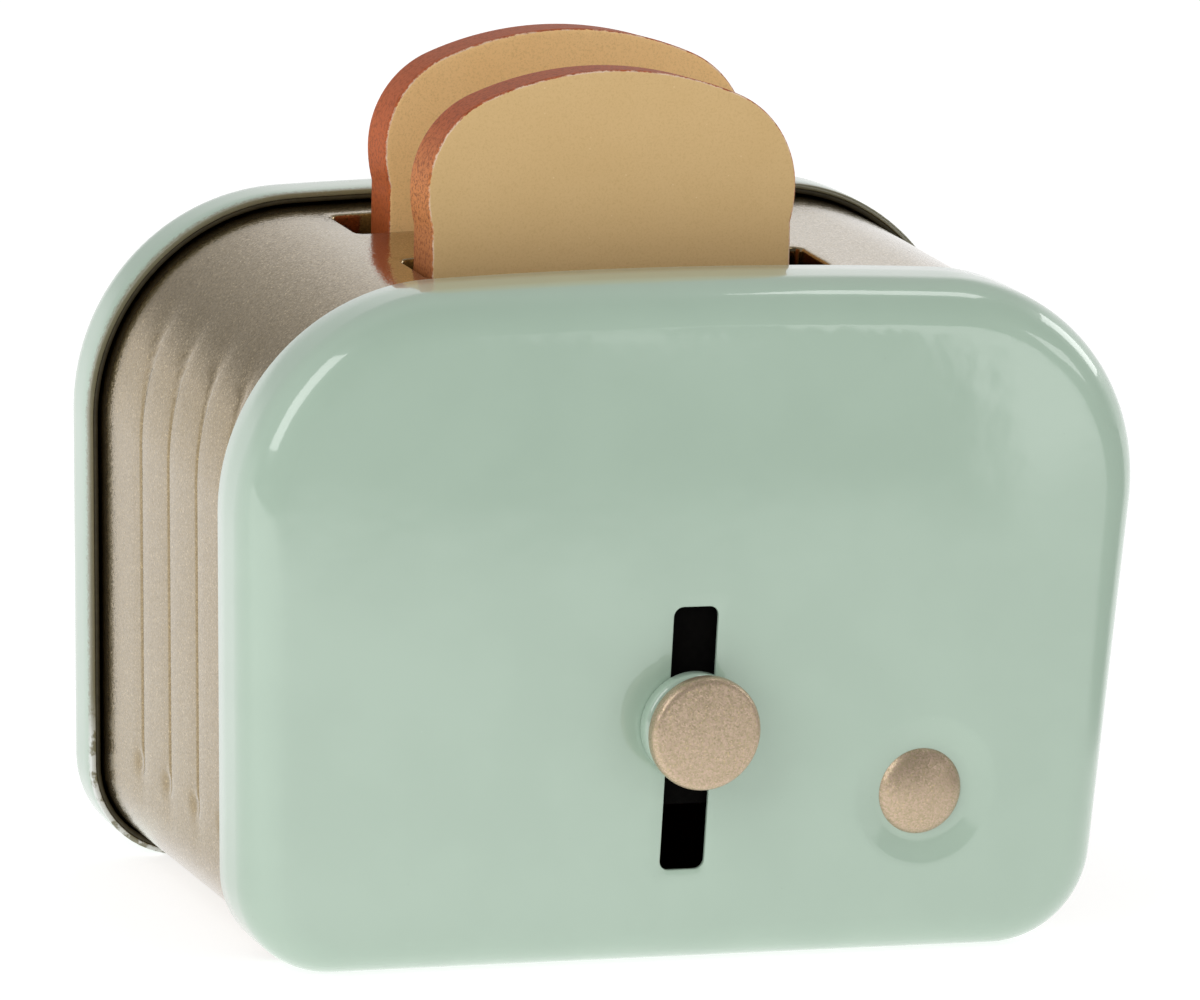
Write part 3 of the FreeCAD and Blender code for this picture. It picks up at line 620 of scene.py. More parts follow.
def body_outline(spacing):
    """Points (x, z) and outward directions in mm, from the foot's middle, up the right side and round."""
    side_lean = math.atan2((shoulder_width - base_width) / 2, panel_height - top_rise)
    arch_radius = ((shoulder_width / 2) ** 2 + top_rise ** 2) / (2 * top_rise)
    arch_centre = np.array([0.0, panel_height - arch_radius])
    slope = math.tan(side_lean)

    def inside_side(radius, z):
        return base_width / 2 + z * slope - radius / math.cos(side_lean)

    low, high = panel_height / 2, panel_height
    for _ in range(50):
        z = (low + high) / 2
        reach = math.hypot(inside_side(top_corner_radius, z), z - arch_centre[1])
        low, high = (z, high) if reach < arch_radius - top_corner_radius else (low, z)
    top_centre = np.array([inside_side(top_corner_radius, z), z])
    bottom_centre = np.array([inside_side(bottom_corner_radius, bottom_corner_radius), bottom_corner_radius])
    top_turn = math.atan2(top_centre[1] - arch_centre[1], top_centre[0])
    arcs = [(bottom_centre, bottom_corner_radius, -math.pi / 2, -side_lean),
            (top_centre, top_corner_radius, -side_lean, top_turn),
            (arch_centre, arch_radius, top_turn, math.pi / 2)]
    points, outward = [np.array([0.0, 0.0])], [np.array([0.0, -1.0])]
    for centre, radius, first, last in arcs:
        begin = centre + radius * np.array([math.cos(first), math.sin(first)])
        direction = np.array([math.cos(first), math.sin(first)])
        run = np.linalg.norm(begin - points[-1])
        for step in range(1, int(run / spacing)):
            points.append(points[-1] + (begin - points[-1]) / (int(run / spacing) - step + 1))
            outward.append(direction)
        count = max(2, int(radius * (last - first) / spacing))
        for step in range(count + 1):
            angle = first + (last - first) * step / count
            direction = np.array([math.cos(angle), math.sin(angle)])
            points.append(centre + radius * direction)
            outward.append(direction)
    closest = spacing / 20
    keep = [0] + [i for i in range(1, len(points)) if np.linalg.norm(points[i] - points[i - 1]) > closest]
    points, outward = np.array(points)[keep], np.array(outward)[keep]
    flip = np.array([-1.0, 1.0])
    return (np.concatenate([points, points[-2:0:-1] * flip]),
            np.concatenate([outward, outward[-2:0:-1] * flip]))


outline, outward = body_outline(outline_spacing)
print("outline points:", len(outline), "width", round(np.ptp(outline[:, 0]), 1), "mm")

# %% [markdown]
# ## Meshes
#
# The real pieces start as flat sheet. The meshes follow that: a flat area is filled with even triangles round
# its holes, then shaped, and only then given its thickness. Even triangles bend a reflection evenly, where
# long thin ones would show as streaks in the gloss.

# %% Filling a flat area
def inside_loop(points, loop):
    """Which of the points lie inside a closed loop."""
    x, y = points[:, 0], points[:, 1]
    inside = np.zeros(len(points), bool)
    for (x0, y0), (x1, y1) in zip(loop, np.roll(loop, -1, axis=0)):
        crosses = (y0 > y) != (y1 > y)
        with np.errstate(divide="ignore", invalid="ignore"):
            inside ^= crosses & (x < (x1 - x0) * (y - y0) / (y1 - y0) + x0)
    return inside


def fill_between(outer, holes, spacing, placed=None, covers=None):
    """Triangles between an outer loop and its holes, through placed points where those cover the area."""
    border_clear = 0.6 * spacing
    bulge = 0.01
    low, high = outer.min(axis=0), outer.max(axis=0)
    rows = np.arange(low[1] + spacing / 2, high[1], spacing * math.sqrt(3) / 2)
    grid = [(x, y) for row, y in enumerate(rows)
            for x in np.arange(low[0] + spacing * (0.5 + 0.5 * (row % 2)), high[0], spacing)]
    grid = np.array(grid)
    border = np.concatenate([outer] + holes)
    nearest = np.min(np.linalg.norm(grid[:, None, :] - border[None, :, :], axis=2), axis=1)
    keep = inside_loop(grid, outer) & (nearest > border_clear)
    for hole in holes:
        keep &= ~inside_loop(grid, hole)
    if placed is not None:
        keep &= ~covers(grid)
        grid, keep = np.concatenate([grid[keep], placed]), slice(None)
    points = np.concatenate([border, grid[keep]])
    edges, first = [], 0
    for loop in [outer] + holes:
        edges += [(first + i, first + (i + 1) % len(loop)) for i in range(len(loop))]
        first += len(loop)
    middle, half = (low + high) / 2, (high - low) / 2

    def bulged(loop):
        """The same points on a plane stretched so that no straight border stays straight."""
        share = (loop - middle) / half
        return middle + half * share * (1 - bulge * share[:, ::-1] ** 2)

    result = geometry.delaunay_2d_cdt([Vector(p) for p in bulged(points)], edges, [], 0, 1e-6)
    stretched = np.array([tuple(p) for p in result[0]])
    middles = np.array([stretched[list(face)].mean(axis=0) for face in result[2]])
    good = inside_loop(middles, bulged(outer))
    for hole in holes:
        good &= ~inside_loop(middles, bulged(hole))
    made = np.array([points[sources[0]] for sources in result[3]])
    return made, [face for face, fine in zip(result[2], good) if fine]


# %% Pieces and rings
def new_piece(name, vertices, faces, *materials):
    """A smooth mesh object from points in millimetres, at the origin."""
    mesh = bpy.data.meshes.new(name)
    mesh.from_pydata([tuple(p) for p in np.asarray(vertices) * mm], [], faces)
    for material in materials:
        mesh.materials.append(material)
    tidy = bmesh.new()
    tidy.from_mesh(mesh)
    bmesh.ops.remove_doubles(tidy, verts=tidy.verts, dist=0.001 * mm)
    bmesh.ops.recalc_face_normals(tidy, faces=tidy.faces)
    tidy.to_mesh(mesh)
    tidy.free()
    mesh.polygons.foreach_set("use_smooth", [True] * len(mesh.polygons))
    piece = bpy.data.objects.new(name, mesh)
    bpy.context.scene.collection.objects.link(piece)
    return piece


def ring_faces(first, second, count, closed=True):
    """Quads between two rings of count points that start at the given indices."""
    last = count if closed else count - 1
    return [(first + i, first + (i + 1) % count, second + (i + 1) % count, second + i) for i in range(last)]


def bake_modifiers(piece):
    """Turn the evaluated object into its own plain mesh."""
    graph = bpy.context.evaluated_depsgraph_get()
    finished = bpy.data.meshes.new_from_object(piece.evaluated_get(graph))
    piece.modifiers.clear()
    piece.data = finished


# %% Sheet thickness
def give_thickness(piece, thickness, inner_slot, rim_slot, edge_round):
    """Sheet thickness inwards, with a small round on the cut edges as thick paint leaves it."""
    wall = piece.modifiers.new("sheet", "SOLIDIFY")
    wall.thickness = thickness * mm
    wall.offset = -1
    wall.use_even_offset = False
    wall.use_quality_normals = True
    wall.material_offset = inner_slot
    wall.material_offset_rim = rim_slot
    bevel = piece.modifiers.new("edges", "BEVEL")
    bevel.width = edge_round * mm
    bevel.segments = 2
    bevel.limit_method = "ANGLE"
    bevel.angle_limit = math.radians(55)
    bake_modifiers(piece)


def outward_face_check(piece):
    """Signed volume in cubic millimetres, positive when the faces point outwards."""
    probe = bmesh.new()
    probe.from_mesh(piece.data)
    volume = probe.calc_volume(signed=True) / mm ** 3
    probe.free()
    return round(volume, 1)


# %% [markdown]
# ## The two panels
#
# Each panel is one pressing: a flange, a rolled edge, and a face that the press leaves very slightly
# pillowed, flat in the middle and falling away near the edge. That small crown is what bends the reflections,
# so the face is a fine mesh and not a plane. The front one has the lever slot cut in and the button's dish
# pressed in, and its face stands a little forward. The flange's free edge is folded back in a hem.

# %% Panel sizes
front_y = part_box("front_panel")[0].y / mm
rear_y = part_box("rear_panel")[1].y / mm
sheet = 0.37
flange_depth = 6.5
rolled_edge_radius = 3.0
hem_depth = 1.3
hem_inner = 0.76
face_crown = 0.3
face_lift = 0.22
roll_steps = 10
lever_slot_width = 3.4
lever_slot_bottom = 7.25
lever_slot_top = 26.65
lever_slot_corner = 0.7
button_x = 18.5
button_height = 12.3
recess_rim_radius = 5.5
recess_floor_radius = 3.6
recess_depth = 0.4
recess_round = 3.0
dish_steps = 5
dish_divisions = 96
face_spacing = 1.0
shank_radius = 1.45
paint_round = 0.07
hem_bite = 0.04
hem_setback = 0.02
hem_sweep = 1.57
print("panels from y", round(front_y, 2), "to", round(rear_y, 2), "mm, sheet", sheet, "mm")


# %% Crown of the face
def crown_depth(x, z):
    """How far the pillowed face has fallen back from its foremost point."""
    across = x / (shoulder_width / 2 - rolled_edge_radius)
    upward = (z - panel_height / 2) / (panel_height / 2 - rolled_edge_radius)
    return face_crown * (1 - (1 - across ** 4) * (1 - upward ** 4))


# %% Loops for holes
def rounded_rectangle(x_low, x_high, z_low, z_high, corner, steps=6):
    """Loop of points with round corners, anticlockwise."""
    points = []
    for x, z, quarter in ((x_high - corner, z_low + corner, 3), (x_high - corner, z_high - corner, 0),
                          (x_low + corner, z_high - corner, 1), (x_low + corner, z_low + corner, 2)):
        for step in range(steps + 1):
            angle = (quarter + step / steps) * math.pi / 2
            points.append((x + corner * math.cos(angle), z + corner * math.sin(angle)))
    return np.array(points)


def divide_loop(loop, spacing):
    """The same loop with its long runs divided."""
    points = []
    for begin, finish in zip(loop, np.roll(loop, -1, axis=0)):
        count = max(1, int(np.linalg.norm(finish - begin) / spacing))
        points += [begin + (finish - begin) * step / count for step in range(count)]
    return np.array(points)

# %% [markdown]
# ### The button's dish
#
# The press leaves the dish as a soft step: a round rim, a short slope and a round foot. A sharp step would
# draw a hard dark crescent under the button, so both rounds are as wide as the depth allows.

# %% The button's dish
def dish_rows():
    """The button's dish as (radius, depth) rows, from the face over a round rim to its flat floor."""
    slope = math.atan2(recess_depth, recess_rim_radius - recess_floor_radius)
    setback = recess_round * math.tan(slope / 2)
    rows = []
    for step in range(dish_steps + 1):
        angle = slope * step / dish_steps
        rows.append((recess_rim_radius + setback - recess_round * math.sin(angle),
                     recess_round * (1 - math.cos(angle))))
    for step in range(dish_steps + 1):
        angle = slope * (1 - step / dish_steps)
        rows.append((recess_floor_radius - setback + recess_round * math.sin(angle),
                     recess_depth - recess_round * (1 - math.cos(angle))))
    return rows + [(shank_radius, recess_depth)]


# %% The skin of a panel
def panel_surface(name, holes=(), dished=False, lift=0.0):
    """The panel's outer skin as a front panel: flange, rolled edge and face, with holes and a dish."""
    count = len(outline)
    rim = outline - outward * rolled_edge_radius

    def fallen(points):
        """Depth of the face behind the flat plane, less the lift of its middle."""
        return crown_depth(points[:, 0], points[:, 1]) - lift

    rows = [(0.0, np.full(count, depth)) for depth in (flange_depth, (flange_depth + rolled_edge_radius) / 2)]
    for step in range(roll_steps + 1):
        angle = math.pi / 2 * step / roll_steps
        inset = rolled_edge_radius * (1 - math.cos(angle))
        rows.append((inset, rolled_edge_radius * (1 - math.sin(angle)) + fallen(outline - outward * inset)))
    vertices, faces = [], []
    for inset, depth in rows:
        ring = outline - outward * inset
        if len(vertices):
            faces += ring_faces(len(vertices) - count, len(vertices), count)
        vertices += [(x, front_y + d, z) for (x, z), d in zip(ring, depth)]
    loops = [divide_loop(hole, outline_spacing) for hole in holes]
    if dished:
        turn = np.arange(dish_divisions) * 2 * math.pi / dish_divisions
        circle = np.stack([np.cos(turn), np.sin(turn)], axis=1)
        rows = dish_rows()
        centre = np.array([button_x, button_height])
        loops.append(centre + circle * rows[0][0])
        for number, (radius, depth) in enumerate(rows):
            if number:
                faces += ring_faces(len(vertices) - dish_divisions, len(vertices), dish_divisions)
            ring = centre + circle * radius
            vertices += [(x, front_y + depth + d, z) for (x, z), d in zip(ring, fallen(ring))]
    flat, triangles = fill_between(rim, loops, face_spacing)
    first = len(vertices)
    vertices += [(x, front_y + d, z) for (x, z), d in zip(flat, fallen(flat))]
    faces += [tuple(first + i for i in face) for face in triangles]
    return new_piece(name, vertices, faces, mint_enamel, tin_lacquer)

# %% [markdown]
# ### The hem
#
# The flange ends in a fold that hides the cut edge, as on a real tin toy. It is a closed ring of its own,
# spun round the outline and joined to the sheet, because the thickened sheet can't fold back on itself.

# %% The hem
def add_hem(piece, rim_y, towards_face):
    """The flange's free edge, folded back on itself inside so that no cut edge can be touched."""
    fold = (hem_inner - sheet + hem_bite) / 2
    middle = hem_inner - fold
    section = [(middle - fold * math.sin(a), fold * (1 - math.cos(a)))
               for a in np.linspace(-hem_sweep, hem_sweep, 9)]
    section = section[::-1] + [(hem_inner, hem_depth), (sheet - hem_bite, hem_depth)]
    vertices, faces = [], []
    count = len(outline)
    for number, (inset, depth) in enumerate(section):
        following = (number + 1) % len(section)
        faces += ring_faces(number * count, following * count, count)
        ring = outline - outward * inset
        vertices += [(x, rim_y + towards_face * (depth + hem_setback), z) for x, z in ring]
    # The hem takes the painted shade of the gap it sits in.
    hem = new_piece(piece.name + "_hem", vertices, faces, hem_painted_shade)
    hem.data.polygons.foreach_set("material_index", [2] * len(hem.data.polygons))
    piece.data.materials.append(hem_painted_shade)
    joined = bmesh.new()
    joined.from_mesh(piece.data)
    joined.from_mesh(hem.data)
    joined.to_mesh(piece.data)
    joined.free()
    bpy.data.objects.remove(hem)


# %% Build the panels
lever_slot = rounded_rectangle(-lever_slot_width / 2, lever_slot_width / 2,
                               lever_slot_bottom, lever_slot_top, lever_slot_corner)
front = panel_surface("front_enamel", [lever_slot], dished=True, lift=face_lift)
rear = panel_surface("rear_enamel")
mirror_plane = Matrix.Translation((0, (front_y + rear_y) * mm, 0)) @ Matrix.Scale(-1, 4, (0, 1, 0))
rear.data.transform(mirror_plane)
rear.data.flip_normals()
for piece, node, side in ((front, "front_panel", 1), (rear, "rear_panel", -1)):
    give_thickness(piece, sheet, 1, 0, paint_round)
    rim_y = (front_y if side == 1 else rear_y) + side * flange_depth
    add_hem(piece, rim_y, -side)
    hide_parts(node)
    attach(piece, "body")
    print(piece.name, len(piece.data.polygons), "faces, volume", outward_face_check(piece), "mm3")

# %% [markdown]
# ## The band
#
# The band is bent from one strip, closed under the floor, and pierced for the bread. It is drawn flat first,
# as a strip of length by depth with two rounded holes, filled with even triangles and wrapped round the
# outline. The lips of the slots roll down from the holes.

# %% Band sizes
band_inset = 0.9
band_sheet = 0.4
seam_gap = 0.3
seam_clear = 0.2
band_front_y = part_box("body_band")[0].y / mm
band_rear_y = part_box("body_band")[1].y / mm
slot_length = 30.8
slot_width = 6.2
slot_pitch = 15.0
slot_centre_x = -2.3
slot_corner_radius = 0.6
slot_lip_drop = 2.4
lip_roll = 0.3
lip_steps = 5
edge_points = 36
band_spacing = 0.9
top_zone = 3
body_middle_y = (front_y + rear_y) / 2
slot_middles = [body_middle_y - slot_pitch / 2, body_middle_y + slot_pitch / 2]

skin = outline - outward * band_inset
strip = np.concatenate([skin, skin[:1]])
run = np.concatenate([[0], np.cumsum(np.linalg.norm(np.diff(strip, axis=0), axis=1))])
wrapped_outward = np.concatenate([outward, outward[:1]])
print("band strip:", round(run[-1], 1), "mm long before its seam gap")


def wrap(along, inset=0.0):
    """Point and outward direction on the band's outline at a length along the strip."""
    point = np.array([np.interp(along, run, strip[:, k]) for k in (0, 1)]).T
    direction = np.array([np.interp(along, run, wrapped_outward[:, k]) for k in (0, 1)]).T
    direction /= np.linalg.norm(direction, axis=1, keepdims=True)
    return point - direction * inset, direction


def along_top(x):
    """Length along the strip at which the band's top passes over x."""
    top = strip[:, 1] > panel_height - top_rise - band_inset - top_zone
    order = np.argsort(strip[top, 0])
    return np.interp(x, strip[top, 0][order], run[top][order])


# %% [markdown]
# ### Where the creases will lie
#
# A crease is much finer than the band's triangles. So the strip gets its own rows of points on both ends,
# crowded beside each crease and wide apart between them. The press then has something to bend.

# %% Rows of points for the creases
crease_count = 4
crease_first = front_y + 26.35
crease_pitch = 6.2
crease_bottom = 9.5
crease_top = 40.8
beside_crease = (0.0, 0.09, 0.18, 0.3, 0.45, 0.65, 0.9, 1.3, 1.8, 2.4)
row_spacing = 0.6
rows_below = 4
rows_above = 7
column_spacing = 0.8
column_margin = 0.4
past_first = 3.2
past_last = 3.0

beside = (skin[:, 1] > crease_bottom - rows_below) & (skin[:, 1] < crease_top + rows_above)
side_run = run[:-1][(skin[:, 0] > 0) & beside]
side_runs = [(side_run.min(), side_run.max()), (run[-1] - side_run.max(), run[-1] - side_run.min())]
print("rows for", crease_count, "creases on", len(side_runs), "ends")


def crease_rows():
    """Points (length, y) on both ends of the strip, close together beside each crease."""
    middles = [crease_first - number * crease_pitch for number in range(crease_count)]
    columns = {round(middle + side * offset, 4) for middle in middles for side in (-1, 1)
               for offset in beside_crease}
    behind = np.arange(middles[0] + past_first, band_rear_y - column_margin, column_spacing)
    before = np.arange(middles[-1] - past_last, band_front_y + column_margin, -column_spacing)
    columns |= {float(y) for y in np.concatenate([behind, before])}
    return np.array([(along, y) for low, high in side_runs
                     for along in np.arange(low, high, row_spacing) for y in sorted(columns)])


def in_crease_rows(points):
    """Which points lie on the parts of the strip that the rows cover."""
    return np.any([(points[:, 0] > low - row_spacing) & (points[:, 0] < high + row_spacing / 2)
                   for low, high in side_runs], axis=0)


# %% Build the band
def band_surface():
    """The band's outer skin with its two lipped slots."""
    begin, finish = seam_gap / 2, run[-1] - seam_gap / 2
    ends = np.concatenate([[begin], run[(run > begin + seam_clear) & (run < finish - seam_clear)], [finish]])
    across = np.linspace(band_front_y, band_rear_y, edge_points)
    outer = np.concatenate([np.stack([ends, np.full(len(ends), band_front_y)], 1),
                            np.stack([np.full(edge_points - 2, finish), across[1:-1]], 1),
                            np.stack([ends[::-1], np.full(len(ends), band_rear_y)], 1),
                            np.stack([np.full(edge_points - 2, begin), across[-2:0:-1]], 1)])
    holes, vertices, faces = [], [], []
    for y in slot_middles:
        loop = rounded_rectangle(slot_centre_x - slot_length / 2, slot_centre_x + slot_length / 2,
                                 y - slot_width / 2, y + slot_width / 2, slot_corner_radius)
        loop = divide_loop(loop, outline_spacing)
        tangent = np.roll(loop, -1, axis=0) - np.roll(loop, 1, axis=0)
        away = np.stack([tangent[:, 1], -tangent[:, 0]], 1) / np.linalg.norm(tangent, axis=1, keepdims=True)
        rows = [(lip_roll * (1 - math.sin(a)), lip_roll * (1 - math.cos(a)))
                for a in np.linspace(0, math.pi / 2, lip_steps + 1)] + [(0.0, slot_lip_drop)]
        for number, (spread, drop) in enumerate(rows):
            ring = loop + away * spread
            ground, _ = wrap(along_top(ring[:, 0]))
            if number:
                faces += ring_faces(len(vertices) - len(loop), len(vertices), len(loop))
            vertices += [(x, v, z - drop) for (x, z), v in zip(ground, ring[:, 1])]
        wide = loop + away * lip_roll
        holes.append(np.stack([along_top(wide[:, 0]), wide[:, 1]], 1))
    flat, triangles = fill_between(outer, holes, band_spacing, crease_rows(), in_crease_rows)
    ground, _ = wrap(flat[:, 0])
    first = len(vertices)
    vertices += [(x, y, z) for (x, z), y in zip(ground, flat[:, 1])]
    faces += [tuple(first + i for i in face) for face in triangles]
    return new_piece("band_champagne", vertices, faces, champagne, tin_lacquer)


band = band_surface()
print("band", len(band.data.polygons), "faces")

# %% [markdown]
# ### Pressed creases
#
# Four creases on each end stiffen the band. They repeat at one pitch, so a Geometry Nodes tree presses them:
# each point looks for its nearest crease and moves inwards, most along a fine line and a little in the wide
# flute round it. A small dimple marks its lower end, and near the top it leans over before it fades out.

# %% Crease tree
def crease_tree(labels):
    """Geometry Nodes tree that presses evenly spaced creases into the two ends of the band."""
    tree = bpy.data.node_groups.new("pressed_creases", "GeometryNodeTree")
    tree.interface.new_socket("Geometry", in_out="INPUT", socket_type="NodeSocketGeometry")
    tree.interface.new_socket("Geometry", in_out="OUTPUT", socket_type="NodeSocketGeometry")
    for label in labels:
        tree.interface.new_socket(label, in_out="INPUT", socket_type=FLOAT)
    given = tree.nodes.new("NodeGroupInput").outputs
    end = tree.nodes.new("NodeGroupOutput")
    place = split_axes(tree, tree.nodes.new("GeometryNodeInputPosition").outputs[0])

    def less(first, second):
        """The difference of two values."""
        return maths(tree, "SUBTRACT", first, second)

    def bell(square):
        """A bell curve of a distance that is given squared: 1 in the middle, 0 far off."""
        return maths(tree, "EXPONENT", maths(tree, "MULTIPLY", square, -1.0))

    rise = maths(tree, "DIVIDE", less(place["Z"], given["Bend Start"]),
                 less(given["Top"], given["Bend Start"]))
    rise = maths(tree, "MAXIMUM", rise, 0.0)
    along_y = less(place["Y"], product(tree, rise, rise, given["Bend"]))
    steps = maths(tree, "DIVIDE", less(given["First"], along_y), given["Pitch"])
    nearest = maths(tree, "MINIMUM", maths(tree, "ROUND", steps), less(given["Count"], 1.0))
    nearest = maths(tree, "MAXIMUM", nearest, 0.0)
    offset = product(tree, less(steps, nearest), given["Pitch"])

    def trough(width, press, fade_share):
        """Depth of one trough along the crease, faded out over a share of the fade at both ends."""
        shape = bell(maths(tree, "POWER", maths(tree, "DIVIDE", offset, width), 2.0))
        fade = maths(tree, "MULTIPLY", given["Fade"], fade_share)
        low = smooth_step(tree, place["Z"], less(given["Bottom"], fade), given["Bottom"])
        high = fall_away(tree, place["Z"], given["Top"], maths(tree, "ADD", given["Top"], fade))
        return product(tree, shape, product(tree, low, high), press)

    line = trough(given["Line Width"], given["Line Press"], 0.2)
    flute = trough(given["Flute Width"], given["Flute Press"], 1.0)
    sideways = maths(tree, "DIVIDE", maths(tree, "ADD", offset, given["Toe Offset"]), given["Toe Size"])
    upwards = maths(tree, "DIVIDE", less(place["Z"], given["Bottom"]), given["Toe Size"])
    away = maths(tree, "ADD", maths(tree, "POWER", sideways, 2.0), maths(tree, "POWER", upwards, 2.0))
    depth = maths(tree, "ADD", maths(tree, "ADD", line, flute), product(tree, bell(away), given["Toe Press"]))
    inward = add_node(tree, "ShaderNodeVectorMath",
                      {0: tree.nodes.new("GeometryNodeInputNormal").outputs[0],
                       "Scale": maths(tree, "MULTIPLY", depth, -1.0)}, operation="SCALE").outputs[0]
    moved = add_node(tree, "GeometryNodeSetPosition", {"Geometry": given["Geometry"], "Offset": inward})
    real = add_node(tree, "GeometryNodeRealizeInstances", {"Geometry": moved.outputs[0]})
    painted = add_node(tree, "GeometryNodeSetMaterial", {"Geometry": real.outputs[0], "Material": champagne})
    tree.links.new(painted.outputs[0], end.inputs["Geometry"])
    return tree


# %% Press the creases
crease_sizes = {"First": crease_first * mm, "Pitch": crease_pitch * mm, "Count": float(crease_count),
                "Bottom": crease_bottom * mm, "Top": crease_top * mm, "Fade": 4.5 * mm,
                "Line Width": 0.16 * mm, "Line Press": 0.11 * mm,
                "Flute Width": 1.2 * mm, "Flute Press": 0.05 * mm,
                "Toe Size": 0.7 * mm, "Toe Offset": 0.7 * mm, "Toe Press": 0.22 * mm,
                "Bend": 1.8 * mm, "Bend Start": 33.0 * mm}
presser = band.modifiers.new("creases", "NODES")
presser.node_group = crease_tree(crease_sizes)
for item in presser.node_group.interface.items_tree:
    if item.in_out == "INPUT" and item.name in crease_sizes:
        presser[item.identifier] = crease_sizes[item.name]
bake_modifiers(band)
band.data.materials.clear()
band.data.materials.append(champagne)
band.data.materials.append(tin_lacquer)
give_thickness(band, band_sheet, 1, 0, paint_round)
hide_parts("body_band")
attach(band, "body")
print("band", len(band.data.polygons), "faces, volume", outward_face_check(band), "mm3")

# %% [markdown]
# ## Turned pieces
#
# The knob, its collar and the button are round, so each is a short profile spun about its own axis. Modelled
# by hand they would be bevelled cylinders, but a profile holds every radius as a number that can be read.

# %% Turning helper
def turned(name, profile, x, z, material, segments=128):
    """A closed profile of (radius, y) points from the axis round to the axis, spun about a line along Y."""
    turn = np.arange(segments) * 2 * math.pi / segments
    vertices, faces, rings = [], [], []
    for radius, y in profile:
        rings.append(len(vertices))
        if radius < 1e-6:
            vertices.append((x, y, z))
        else:
            vertices += [(x + radius * math.cos(a), y, z + radius * math.sin(a)) for a in turn]
    for (begin, finish), (first, last) in zip(zip(rings, rings[1:]), zip(profile, profile[1:])):
        if first[0] < 1e-6:
            faces += [(begin, finish + i, finish + (i + 1) % segments) for i in range(segments)]
        elif last[0] < 1e-6:
            faces += [(begin + i, finish, begin + (i + 1) % segments) for i in range(segments)]
        else:
            faces += ring_faces(begin, finish, segments)
    return new_piece(name, vertices, faces, material)


def corner_arc(radius_centre, y_centre, round_radius, first, last, steps=8):
    """Profile points round a corner, with angles in degrees from the outward radius towards the front."""
    return [(radius_centre + round_radius * math.cos(math.radians(a)),
             y_centre - round_radius * math.sin(math.radians(a)))
            for a in np.linspace(first, last, steps + 1)]


# %% Knob
lever_height = 18.1
knob_radius = 4.17
knob_proud = 3.9
knob_thickness = 1.4
knob_dome = 0.17
rim_round = 0.56
back_round = 0.3
knob_front_y = front_y - knob_proud
knob_back_y = knob_front_y + knob_thickness
flat_radius = knob_radius - rim_round

knob_profile = [(0.0, knob_front_y)]
knob_profile += [(r, knob_front_y + knob_dome * (r / flat_radius) ** 2)
                 for r in np.linspace(0.4, flat_radius, 12)[:-1]]
knob_profile += corner_arc(flat_radius, knob_front_y + knob_dome + rim_round, rim_round, 90, 0)
knob_profile += corner_arc(knob_radius - back_round, knob_back_y - back_round, back_round, 0, -90, 4)
knob_profile += [(0.0, knob_back_y)]
knob = turned("knob", knob_profile, 0.0, lever_height, champagne_dull)
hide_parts("knob_cap")
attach(knob, "carriage")
print(knob.name, len(knob.data.polygons), "faces, volume", outward_face_check(knob), "mm3")

# %% Collar and neck behind the knob
collar_radius = 3.9
collar_thickness = 1.25
collar_lift = 0.25
collar_round = 0.5
collar_back_round = 0.2
neck_radius = 2.3
neck_fillet = 0.2
fillet_middle = 0.06
rivet_hole_radius = 1.55
collar_rear = front_y - collar_lift
collar_front = collar_rear - collar_thickness

collar_profile = [(rivet_hole_radius, knob_back_y), (neck_radius, knob_back_y),
                  (neck_radius, collar_front - neck_fillet),
                  (neck_radius + fillet_middle, collar_front - fillet_middle),
                  (neck_radius + neck_fillet, collar_front)]
collar_profile += corner_arc(collar_radius - collar_round, collar_front + collar_round, collar_round, 90, 0)
collar_profile += corner_arc(collar_radius - collar_back_round, collar_rear - collar_back_round,
                             collar_back_round, 0, -90, 4)
collar_profile += [(rivet_hole_radius, collar_rear), (rivet_hole_radius, knob_back_y)]
collar = turned("collar", collar_profile, 0.0, lever_height, mint_enamel)
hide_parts("knob_collar")
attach(collar, "carriage")
print(collar.name, len(collar.data.polygons), "faces, volume", outward_face_check(collar), "mm3")

# %% Button
button_radius = 3.2
button_leftwards = 0.3
button_dome = 1.1
shank_play = 0.05
shank_length = 1.2
foot_sunk = 0.02
seat_y = front_y + recess_depth

button_profile = [(0.0, seat_y - button_dome)]
button_profile += [(button_radius * math.sin(a), seat_y - button_dome * math.cos(a))
                   for a in np.linspace(0.08, math.pi / 2, 20)]
button_profile += [(button_radius - shank_play, seat_y + foot_sunk),
                   (shank_radius - shank_play, seat_y + foot_sunk),
                   (shank_radius - shank_play, seat_y + shank_length), (0.0, seat_y + shank_length)]
button = turned("button", button_profile, button_x - button_leftwards, button_height, champagne_dull)
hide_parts("button_stud")
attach(button, "body")
print(button.name, len(button.data.polygons), "faces, volume", outward_face_check(button), "mm3")

# %% [markdown]
# ## Play bread
#
# A slice is sawn from fibreboard and painted: crust round the edge, crumb on both faces. The brush leaves a
# ragged border and the arris is rubbed pale. Each slice carries an attribute that counts millimetres over
# that arris, below zero on the sawn edge and above zero on the face, and the finish draws the border from it.

# %% Slice outline
slice_width = 28.1
slice_waist_width = 27.4
slice_height = 29.65
slice_thickness = 4.0
crown_radius = 25.0
shoulder_radius = 7.2
foot_radius = 2.0
waist_height = 18.5
slice_lean = 6.0
slice_spacing = 0.45
slice_arris = 0.18
face_rings = (1.6, 0.9, 0.45)
edge_ring = 0.5
closest = 0.02


